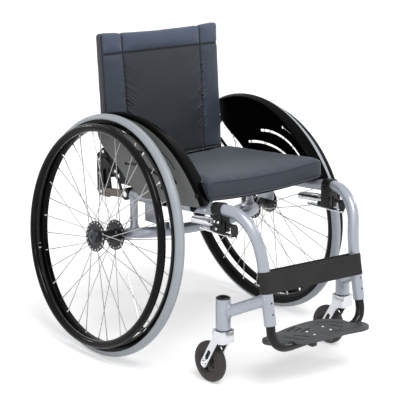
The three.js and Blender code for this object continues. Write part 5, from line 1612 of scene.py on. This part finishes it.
rail_before, rail_after = on_rail(361), on_rail(334)
rail_heading = (rail_before - rail_after).normalized()
band = bar(BRAKE_PLACE - rail_heading * 14, BRAKE_PLACE + rail_heading * 14, 17, 48)
clamp_body = cuboid((161.5, -361.6, 370.3), (194.8, -334, 425))
band = softened(carved(band, joins=[softened(clamp_body, 3.2, 40, 4)], cuts=[
    swept([spot for spot in SIDE_TUBE_LINE if 250 < -spot.y < 440], FRAME_TUBE + 0.12, 40),
    cuboid((176, -364, 372.5), (180, -331, 400)),
]), 0.7, 42, 2)
lug = moved(turned(rounded([
    (LUG_BOTTOM, 0), (LUG_BOTTOM, 8.8), (LUG_TOP, 8.8), (LUG_TOP, 0),
], 0.6, 2), 36, "Z"), (BRAKE_BAR_X, SHOE_PIVOT_Y, 0))
lug_web = cuboid((170, -334.5, 371), (186, -320, 377.2))
add_pair(
    "brake_clamp_block", together([band, softened(lug_web, 0.8), lug]), clamp_finish,
    "root", ["{}_brake_clamp"],
)
clamp_bolts = [
    moved(dome_screw(3.6, 1.8), (194.8, across, along))
    for across, along in ((-354.5, 397), (-341.5, 397), (-348, 380))
]
rail_screws = [
    moved(dome_screw(3.4, 1.4), on_rail(reach) + Vector((FRAME_TUBE - 0.25, 0, 0)))
    for reach in (60, 190, 305)
]
add_pair(
    "clamp_and_rail_bolts", together(clamp_bolts + rail_screws), chrome_finish, "root",
)

shoe_foot, shoe_tip = Vector((BRAKE_BAR_X, -328, 386)), Vector((BRAKE_BAR_X, -243, 380))
shoe_heading = (shoe_tip - shoe_foot).normalized()
shoe_bar = softened(bar(shoe_foot, shoe_tip, SHOE_RADIUS, 32), 2.4, 60, 4)
shoe_collars = [
    softened(bar(
        shoe_tip - shoe_heading * (back + 4), shoe_tip - shoe_heading * back, SHOE_RADIUS + 0.8, 32,
    ), 0.9, 60, 3)
    for back in (3, 74)
]
shoe_rod = swept(through([
    shoe_foot + Vector((0, 2, 8)), shoe_foot + Vector((0, 14, 10)), shoe_tip + Vector((0, -22, 11)),
    shoe_tip + Vector((0, -4, 8)), shoe_tip + Vector((0, 3, -1)),
], 20), 2.2, 12)
add_pair(
    "brake_shoe_bar", together([shoe_bar, shoe_rod] + shoe_collars), chrome_finish,
    "{}_brake_shoe", ["{}_brake_shoe"],
)
loop_line = [
    Vector((across, along, 366.7))
    for across, along in hull_outline([(BRAKE_BAR_X, -376, 4.8), (BRAKE_BAR_X, -282, 5.4)], 28)
]
lever_loop = swept(loop_line, 2.8, 14, ring=True)
lever_strip = softened(plate_of(hull_outline([
    (BRAKE_BAR_X, BRAKE_KNOB_Y, 7.4), (BRAKE_BAR_X, -352, 5.6),
], 28), 364.6, 368.8, "Z"), 0.9, 40, 2)
lever_pin = bar((BRAKE_BAR_X, BRAKE_PLACE.y, 363.8), (BRAKE_BAR_X, BRAKE_PLACE.y, 370.2), 4, 24)
add_pair(
    "brake_lever_rod", together([lever_loop, lever_strip, lever_pin]), chrome_finish,
    "{}_brake_lever", ["{}_brake_lever"],
)
knob = turned(rounded([
    (370.1, 0), (370.1, 6), (374, 9.2), (382, 10.1), (390, 9.4), (395.6, 6.4), (397, 2), (397, 0),
], 4, 6), 40, "Z")
bmesh.ops.scale(knob, vec=(0.82, 1, 1), verts=knob.verts)
knob_neck = softened(cuboid((172.5, -391, 387), (183.5, -369.5, 396)), 3.4, 40, 4)
knob_tip = softened(plate_of(hull_outline([
    (BRAKE_BAR_X, -399.2, 2), (BRAKE_BAR_X - 4, -392, 3.4), (BRAKE_BAR_X + 4, -392, 3.4),
], 20), 363.8, 370.4, "Z"), 1.0, 40, 2)
knob = moved(knob, (BRAKE_BAR_X, BRAKE_KNOB_Y, 0))
add_pair(
    "brake_knob_grip", together([knob, knob_neck, knob_tip]), knob_finish,
    "{}_brake_lever", ["{}_brake_knob"],
)

# Seat. A sling of black coated nylon is stretched between the rails and screwed to them. On it
# lies a box cushion of foam in a slate cover, sewn from a top, a bottom and a band with piping on
# both seams. Sling and cushion sag a little between the rails.
SEAT_PLACE = Matrix.Translation((0, -24, 401.42)) @ Matrix.Rotation(math.radians(-3.597), 4, "X")
SLING_HALF_WIDTH = 185.5
SLING_FRONT = -282
SLING_REAR = 0
SLING_TONGUE = 48
SLING_TONGUE_HALF = 174.4
SLING_TOP = 17.6
SLING_THICKNESS = 2.2
SEAT_SAG = 8
SAG_HALF_WIDTH = 172
CUSHION_HALF_WIDTH = 191
CUSHION_FRONT = -297
CUSHION_REAR = 69.5
CUSHION_FOOT = 18.1
CUSHION_HEAD = 66
CUSHION_VOXEL = 5.0
CUSHION_PRESSURE = 4.0
CUSHION_SWELL = 5
CUSHION_CORNER = 9
EDGE_ROUND = 5
PIPING_RADIUS = 1.5
PIPING_STEPS = 260
CUSHION_TOP_PAINTED_SHADE = 0.62
CUSHION_BAND_PAINTED_SHADE = 0.85

# Coated nylon cloth: black, matt and close woven.
sling_finish, tree, shader = new_finish("coated_black_nylon", "#18181a", 0.7, specular_ior_level=0.35)
add_weave(tree, shader, 1.8, 0.15, ("#131315", "#202023"))
# Painted shade: what the cloth is darkened by in a shaded panel, and the painted shadow colour of the sewn
# grooves.
PAINTED_PANEL_SHADE = "#98928a"
SEAM_GROOVE_SHADOW = "#060608"


def new_cover(name, base, tones):
    """A cover cloth. Its piece's panel attribute darkens whole panels with painted shade, and its seam
    attribute darkens the sewn grooves with painted shadow."""
    finish, tree, shader = new_finish(
        name, base, 0.56, sheen_weight=0.25, sheen_roughness=0.45, specular_ior_level=0.38,
    )
    add_weave(tree, shader, 1.2, 0.12, tones)
    cloth = shader.inputs["Base Color"].links[0].from_socket
    panel = add_node(tree, "ShaderNodeAttribute", {"attribute_name": "panel"})
    shaded = add_node(tree, "ShaderNodeMix", {
        "data_type": "RGBA", "blend_type": "MULTIPLY", 7: linear(PAINTED_PANEL_SHADE),
    }, {0: panel.outputs["Fac"], 6: cloth})
    sewn = add_node(tree, "ShaderNodeAttribute", {"attribute_name": "seam"})
    dark = add_node(tree, "ShaderNodeMix", {"data_type": "RGBA", 7: linear(SEAM_GROOVE_SHADOW)}, {
        0: sewn.outputs["Fac"], 6: shaded.outputs[2],
    })
    tree.links.new(dark.outputs[2], shader.inputs["Base Color"])
    return finish


# Slate coated polyester of cushion and back: a fine weave, drawn at 1.2 mm so that it shows, with a low
# sheen. Only the back's head band, lit from above, has the full slate; the other panels are darkened with
# painted shade.
cover_finish = new_cover("slate_coated_polyester", "#4b5567", ("#434e61", "#515c71"))


def seat_sag(x):
    """How far the seat hangs between the rails at a place across it."""
    return SEAT_SAG * max(0.0, 1 - (x / SAG_HALF_WIDTH) ** 2)


sling = bmesh.new()
SLING_ROWS = 26
sling_rows = []
for row in range(SLING_ROWS + 1):
    along = SLING_FRONT + (SLING_TONGUE - SLING_FRONT) * row / SLING_ROWS
    half = SLING_HALF_WIDTH if along < SLING_REAR + 4 else SLING_TONGUE_HALF
    line = []
    for step in range(41):
        x = half * (step / 20 - 1)
        line.append(sling.verts.new(SEAT_PLACE @ Vector((x, along, SLING_TOP - seat_sag(x)))))
    sling_rows.append([sling.edges.new(pair) for pair in zip(line, line[1:])])
for first, second in zip(sling_rows, sling_rows[1:]):
    bmesh.ops.bridge_loops(sling, edges=first + second)
bmesh.ops.recalc_face_normals(sling, faces=sling.faces)
if sling.faces[:][0].normal.z < 0:
    bmesh.ops.reverse_faces(sling, faces=sling.faces)
bmesh.ops.solidify(sling, geom=sling.faces, thickness=SLING_THICKNESS)
sling = softened(sling, 0.6, 50, 2)
sling_piece = add_piece("seat_sling_cloth", sling, sling_finish, "root", ["seat_sling"])


def remeshed(form, voxel):
    """The form with its surface made again of even square cells."""
    shape = as_object(form)
    form.free()
    step = shape.modifiers.new("cells", "REMESH")
    step.mode = "VOXEL"
    step.voxel_size = voxel
    return settled(shape)


def subdivided(form):
    """The form with one smooth subdivision."""
    shape = as_object(form)
    form.free()
    step = shape.modifiers.new("finer", "SUBSURF")
    step.levels = step.render_levels = 1
    return settled(shape)


def swollen(form, pressure, most, pinned=None):
    """Swells a closed form as stuffed cloth does, by simulation, with each point's move capped.
    Pinned says from a place in millimetres how far a point is held, from 0 to 1."""
    start = [vert.co.copy() for vert in form.verts]
    holds = [pinned(place) if pinned else 0.0 for place in start]
    bmesh.ops.transform(form, matrix=TO_METRES, verts=form.verts)
    shape = as_object(form)
    form.free()
    group = shape.vertex_groups.new(name="sewn")
    for number, hold in enumerate(holds):
        if hold > 0:
            group.add([number], hold, "REPLACE")
    cloth = shape.modifiers.new("stuffed", "CLOTH")
    cloth.settings.quality = 5
    cloth.settings.mass = 0.2
    cloth.settings.tension_stiffness = 15
    cloth.settings.compression_stiffness = 15
    cloth.settings.shear_stiffness = 5
    cloth.settings.bending_stiffness = 0.8
    cloth.settings.use_pressure = True
    cloth.settings.uniform_pressure_force = pressure
    cloth.settings.effector_weights.gravity = 0
    if pinned:
        cloth.settings.vertex_group_mass = group.name
    cloth.point_cache.frame_start = 1
    cloth.point_cache.frame_end = 20
    scene = bpy.context.scene
    for number in range(1, 21):
        scene.frame_set(number)
    form = settled(shape)
    scene.frame_set(1)
    bmesh.ops.transform(form, matrix=TO_METRES.inverted(), verts=form.verts)
    for vert, place in zip(form.verts, start):
        move = vert.co - place
        if move.length > most:
            vert.co = place + move * (most / move.length)
    return form


def shaped(form, change):
    """Moves each point of a form to the place that a function gives."""
    for vert in form.verts:
        vert.co = change(vert.co.copy())
    return form


cushion_middle = (CUSHION_FRONT + CUSHION_REAR) / 2
cushion_half_depth = (CUSHION_REAR - CUSHION_FRONT) / 2


def cushion_place(place):
    """Turns a place on a unit box into one on the cushion: drawn in along its sides, crowned on
    top and hung between the rails."""
    across, along, rise = place
    side_in = 3 * (1 - along * along) * (across * across) ** 4
    x = across * (CUSHION_HALF_WIDTH - side_in)
    y = cushion_middle + along * cushion_half_depth
    crown = 7 * (1 - across ** 4) * (1 - along ** 4)
    top = CUSHION_HEAD + crown
    z = CUSHION_FOOT + 0.4 + (top - CUSHION_FOOT) * (rise + 1) / 2
    return SEAT_PLACE @ Vector((x, y, z - seat_sag(x) * (1 if along < 0.6 else 1 - (along - 0.6))))


def unit_box(cuts):
    """A box from -1 to 1 on each axis, with its faces cut into a grid."""
    form = bmesh.new()
    bmesh.ops.create_cube(form, size=2)
    bmesh.ops.subdivide_edges(form, edges=form.edges, cuts=cuts, use_grid_fill=True)
    return form


def eased(place, half, radius):
    """Rounds the edges of the unit box to a radius, for a form with the half sizes given."""
    real = Vector(place[axis] * half[axis] for axis in range(3))
    core = Vector(max(-half[axis] + radius, min(half[axis] - radius, real[axis])) for axis in range(3))
    out = real - core
    if out.length > 0.001:
        reach = max(abs(part) for part in out)
        real = core + out.normalized() * reach
    return Vector(real[axis] / half[axis] for axis in range(3))


half_height = (CUSHION_HEAD - CUSHION_FOOT) / 2
cushion_half_size = Vector((CUSHION_HALF_WIDTH, cushion_half_depth, half_height))
box = shaped(unit_box(31), lambda place: cushion_place(eased(place, cushion_half_size, EDGE_ROUND)))
bmesh.ops.recalc_face_normals(box, faces=box.faces)
cushion = remeshed(box, CUSHION_VOXEL)
cushion = subdivided(swollen(cushion, CUSHION_PRESSURE, CUSHION_SWELL))
TO_SEAT = SEAT_PLACE.inverted()
panel_shade_layer = cushion.verts.layers.float.new("panel")
seam_shadow_layer = cushion.verts.layers.float.new("seam")
cushion.normal_update()
for vert in cushion.verts:
    # Painted shade: the band, turned sideways, is darkened more than the top, which faces up.
    upward = min(1.0, max(0.0, vert.normal.z * 2 - 0.6))
    vert[panel_shade_layer] = CUSHION_BAND_PAINTED_SHADE + (CUSHION_TOP_PAINTED_SHADE - CUSHION_BAND_PAINTED_SHADE) * upward
    local = TO_SEAT @ vert.co
    if local.z < CUSHION_FOOT - seat_sag(local.x):
        local.z = CUSHION_FOOT - seat_sag(local.x) + 0.1
        vert.co = SEAT_PLACE @ local


def outline_spot(turn, inset):
    """A place on the cushion's rounded rectangle, by its share of the way round."""
    corner = CUSHION_CORNER
    half_x, half_y = CUSHION_HALF_WIDTH - inset, cushion_half_depth - inset
    sides = [
        (Vector((-half_x + corner, -half_y)), Vector((half_x - corner, -half_y))),
        (Vector((half_x, -half_y + corner)), Vector((half_x, half_y - corner))),
        (Vector((half_x - corner, half_y)), Vector((-half_x + corner, half_y))),
        (Vector((-half_x, half_y - corner)), Vector((-half_x, -half_y + corner))),
    ]
    number = int(turn * 4) % 4
    share = turn * 4 - int(turn * 4)
    start, end = sides[number]
    after = sides[(number + 1) % 4][0]
    length = (end - start).length
    arc = corner * math.pi / 2
    if share * (length + arc) <= length:
        spot = start.lerp(end, share * (length + arc) / length)
    else:
        part = (share * (length + arc) - length) / arc
        heading = (end - start).normalized()
        inward = Vector((-heading.y, heading.x))
        sweep = part * math.pi / 2
        spot = end + inward * corner * (1 - math.cos(sweep)) + heading * corner * math.sin(sweep)
    return spot


def search_tree(places):
    """A tree that finds the nearest of some places."""
    found = mathutils.kdtree.KDTree(len(places))
    for number, place in enumerate(places):
        found.insert(place, number)
    found.balance()
    return found


cushion_tree = search_tree([vert.co for vert in cushion.verts])
cushion.verts.ensure_lookup_table()
pipings = []
for rise in (1, -1):
    line = []
    for step in range(PIPING_STEPS):
        spot = outline_spot(step / PIPING_STEPS, 1.5)
        place = cushion_place(Vector((
            spot.x / CUSHION_HALF_WIDTH, spot.y / cushion_half_depth, rise * 0.9,
        )))
        found, number, _ = cushion_tree.find(place)
        normal = cushion.verts[number].normal
        line.append(found + normal * PIPING_RADIUS * 0.35)
    for _ in range(6):
        line = [
            (line[step - 1] + line[step] * 2 + line[(step + 1) % PIPING_STEPS]) / 4
            for step in range(PIPING_STEPS)
        ]
    pipings.append(swept(line, PIPING_RADIUS, 10, ring=True))
    near = search_tree(line)
    for vert in cushion.verts:
        _, _, gap = near.find(vert.co)
        if gap < 7:
            # Painted shadow: the cloth beside the piping is darkened where it is drawn in.
            shade = math.exp(-(gap / 2.2) ** 2)
            vert[seam_shadow_layer] = max(vert[seam_shadow_layer], shade * 0.45)
            vert.co -= vert.normal * 1.2 * math.exp(-(gap / 3.0) ** 2)
cushion_piece = add_piece(
    "seat_cushion_cover", cushion, cover_finish, "root", ["seat_cushion"], sharp=180,
)
# Piping cord in the same cloth, a little darker.
piping_finish = new_cover("slate_piping_cord", "#3f434e", ("#3a3e49", "#464a56"))
add_piece("seat_cushion_piping", together(pipings), piping_finish, "root", sharp=180)

# Back frame. Two black canes with plugged ends turn on the hinge plates' pivot bolts, and a cross
# bar joins them below the upholstery.
BACK_PLACE = Matrix.Translation(PIVOT_PLACE) @ Matrix.Rotation(math.radians(-3.9), 4, "X")
CANE_FOOT = Vector((172, 0, -69.28))
CANE_HEAD = Vector((169, 0, 290.15))
CANE_RADIUS = 10.5
CROSS_BAR_HEIGHT = -48.19

cane = softened(bar(BACK_PLACE @ CANE_FOOT, BACK_PLACE @ CANE_HEAD, CANE_RADIUS), 1.0, 60, 2)
collar = bar(
    BACK_PLACE @ CANE_FOOT.lerp(CANE_HEAD, 0.16), BACK_PLACE @ CANE_FOOT.lerp(CANE_HEAD, 0.225),
    CANE_RADIUS + 2.2, 36,
)
collar = softened(collar, 0.8, 60, 2)
add_pair(
    "back_cane_tube", together([cane, collar]), foot_tube_finish, "backrest",
    ["{}_back_cane"],
)
cane_plug = turned(rounded([(0, 0), (0, 10.6), (2.4, 10.6), (4.6, 8), (5.6, 0)], 1.6, 3), 32, "Z")
cane_plug = moved(cane_plug, BACK_PLACE @ Matrix.Translation(CANE_HEAD))
add_pair("back_cane_plug", cane_plug, gloss_cap_finish, "backrest")
cross_bar = swept([
    BACK_PLACE @ Vector((side * (172 - 9), 0, CROSS_BAR_HEIGHT)) for side in (-1, -0.5, 0, 0.5, 1)
], 8, 28)
add_piece("back_cross_tube", cross_bar, foot_tube_finish, "backrest", ["back_cross_bar"])

# Back upholstery. Slate coated polyester is sewn in panels over thin foam: a padded head band, a middle
# panel darkened most by painted shade, and two side bolsters. A sleeve down each side slides over its cane
# and is cut back beside the hinge plate, and the seams pull the cloth into short wrinkles.
PAD_FOOT = -38
PAD_HEAD = 300
PAD_HALF = 190.5
PAD_FRONT = -20
PAD_REAR = 3.5
PAD_EDGE_ROUND = 7
PAD_VOXEL = 4.6
SLEEVE_HALF = 12.2
SLEEVE_REACH = 24
PLATE_NOTCH = 6
HEAD_SAG = 9
PAD_PRESSURE = 5.0
PAD_SWELL = 4.5
WRINKLE_PITCH = 9.5
WRINKLE_DEPTH = 9.0
GROOVE_SINK = 5.0
SLEEVE_SEAM_PLACE = 15.5
SIDE_SEAM_SHARES = [(1.0, 0.675), (0.85, 0.67), (0.45, 0.66), (0, 0.665)]
HEAD_SEAM = 0.84
FOOT_SEAM = 0.02
# How far each panel puffs out in millimetres, and how much painted shade darkens it.
PUFFS = {"head": 5.0, "bolster": 3.5, "middle": 1.5}
PANEL_PAINTED_SHADES = {"head": 0.0, "bolster": 0.6, "middle": 1.0}


def eased_step(low, high, value):
    """A smooth step from nought at low to one at high."""
    share = min(1.0, max(0.0, (value - low) / (high - low)))
    return share * share * (3 - 2 * share)


def side_seam(share):
    """How far out the upright seams stand, as a share of the half width, at a share of height."""
    for (high, near), (low, far) in zip(SIDE_SEAM_SHARES, SIDE_SEAM_SHARES[1:]):
        if share >= low:
            return far + (near - far) * (share - low) / (high - low)
    return SIDE_SEAM_SHARES[-1][1]


def pad_place(place):
    """Turns a place on a unit box into one on the upholstery, before it is stuffed."""
    across, along, rise = place
    share = (rise + 1) / 2
    sag = HEAD_SAG * (1 - across * across) * share ** 6
    z = PAD_FOOT + (PAD_HEAD - PAD_FOOT) * share - sag
    sleeve = eased_step(PAD_HALF - 2.2 * SLEEVE_REACH, PAD_HALF - SLEEVE_REACH, abs(across) * PAD_HALF)
    rear = PAD_REAR + (SLEEVE_HALF - PAD_REAR) * sleeve
    y = PAD_FRONT + (rear - PAD_FRONT) * (along + 1) / 2
    notch = PLATE_NOTCH * eased_step(24, 16, z) * eased_step(-15, -11, y)
    x = across * (PAD_HALF - notch)
    return BACK_PLACE @ Vector((x, y, z))


pad_half_size = Vector((PAD_HALF, 15, (PAD_HEAD - PAD_FOOT) / 2))
box = shaped(unit_box(47), lambda place: pad_place(eased(place, pad_half_size, PAD_EDGE_ROUND)))
bmesh.ops.recalc_face_normals(box, faces=box.faces)
pad = remeshed(box, PAD_VOXEL)
TO_BACK = BACK_PLACE.inverted()


def seam_gaps(local):
    """Distances in millimetres from a place on the front to its nearest upright and level seam,
    with the place's shares across and up."""
    height = PAD_HEAD - PAD_FOOT
    share = (local.z - PAD_FOOT) / height
    across = local.x / PAD_HALF
    upright = abs(abs(across) - side_seam(share)) * PAD_HALF
    level = min(abs(share - HEAD_SEAM), abs(share - FOOT_SEAM)) * height
    return upright, level, across, share


def panel_name(across, share):
    """The panel that a place on the front belongs to."""
    if share > HEAD_SEAM:
        return "head"
    return "middle" if abs(across) < side_seam(share) else "bolster"


def sewn_down(place):
    """How firmly the seams and the sleeves hold a place of the upholstery."""
    local = TO_BACK @ place
    if local.y > 2:
        return 0.9
    upright, level, across, share = seam_gaps(local)
    return 1.0 if min(upright, level) < 3.2 or abs(across) > 0.93 else 0.0


def pucker(local, upright, across, share):
    """How far the cloth stands in a wrinkle drawn in by the nearest upright seam."""
    side = 1 if across > 0 else -1
    inside = abs(across) < side_seam(share)
    drift = 5 * noise.noise(Vector((local.z / 26.0, side * 3.0, 1.5)))
    slant = local.z + (0.7 if inside else -0.8) * upright + drift
    wave = 0.5 + 0.5 * math.sin(slant * 2 * math.pi / WRINKLE_PITCH)
    lane = side * 4.0 + (3.0 if inside else 0.0)
    size = 0.55 + 0.9 * noise.noise(Vector((slant / 15.0, lane, 0.5)))
    spread = 0.8 + 0.6 * noise.noise(Vector((local.z / 14.0, side * 2.0, 7.0)))
    reach = (19 if inside else 11) * spread
    fades = eased_step(0.06, 0.22, share) * eased_step(HEAD_SEAM - 0.03, HEAD_SEAM - 0.18, share)
    near = math.exp(-upright / reach) * (1 - math.exp(-(upright / 1.8) ** 2))
    return WRINKLE_DEPTH * wave * max(0.0, size) * near * fades


def bell(gap, width):
    """One on a line, falling smoothly to nought beside it."""
    return math.exp(-(gap / width) ** 2)


pad = subdivided(swollen(pad, PAD_PRESSURE, PAD_SWELL, sewn_down))
panel_shade_layer = pad.verts.layers.float.new("panel")
seam_shadow_layer = pad.verts.layers.float.new("seam")
pad.normal_update()
for vert in pad.verts:
    local = TO_BACK @ vert.co
    upright, level, across, share = seam_gaps(local)
    normal = vert.normal.copy()
    panel = panel_name(across, share)
    # Painted shade: the sides and the back take the full darkening, the front panels their share.
    vert[panel_shade_layer] = 1.0 if abs(normal.x) > 0.8 or local.y > 2 else PANEL_PAINTED_SHADES[panel]
    if local.y < -6 and abs(across) < 0.985:
        groove = max(bell(upright, 2.4), bell(level, 2.4))
        edge_gap = min((1 - abs(across)) * PAD_HALF, (1 - share) * (PAD_HEAD - PAD_FOOT)) + 4
        gap = max(0.0, min(upright, level, edge_gap))
        move = PUFFS[panel] * (1 - bell(gap, 13)) - GROOVE_SINK * groove
        move += pucker(local, upright, across, share)
        unevenness = noise.noise(Vector((local.x / 70.0, 3.1, local.z / 55.0)))
        move += 0.9 * unevenness * min(1.0, upright / 20)
        vert.co += normal * move
        # Painted shadow in the sunk seam grooves.
        vert[seam_shadow_layer] = min(1.0, 1.3 * max(bell(upright, 2.3), bell(level, 2.1)))
    # Painted shadow also darkens the sleeve seam and the hem grooves where they sink.
    at_sleeve = abs(across) > 0.965 and share < 0.98
    sleeve_gap = abs(local.y + SLEEVE_SEAM_PLACE) if at_sleeve else 9
    if sleeve_gap < 5:
        vert.co -= normal * 1.6 * bell(sleeve_gap, 1.9)
        vert[seam_shadow_layer] = max(vert[seam_shadow_layer], 0.9 * bell(sleeve_gap, 1.7))
    if local.y > 0 and 0.02 < share < 0.985:
        hem_gap = abs(abs(local.x) - (PAD_HALF - 2 * SLEEVE_REACH + 3))
        vert.co -= normal * 0.8 * bell(hem_gap, 2.0)
        vert[seam_shadow_layer] = max(vert[seam_shadow_layer], 0.6 * bell(hem_gap, 1.6))
pad_piece = add_piece(
    "back_upholstery_cover", pad, cover_finish, "backrest", ["back_pad"], sharp=180,
)
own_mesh(pad_piece)
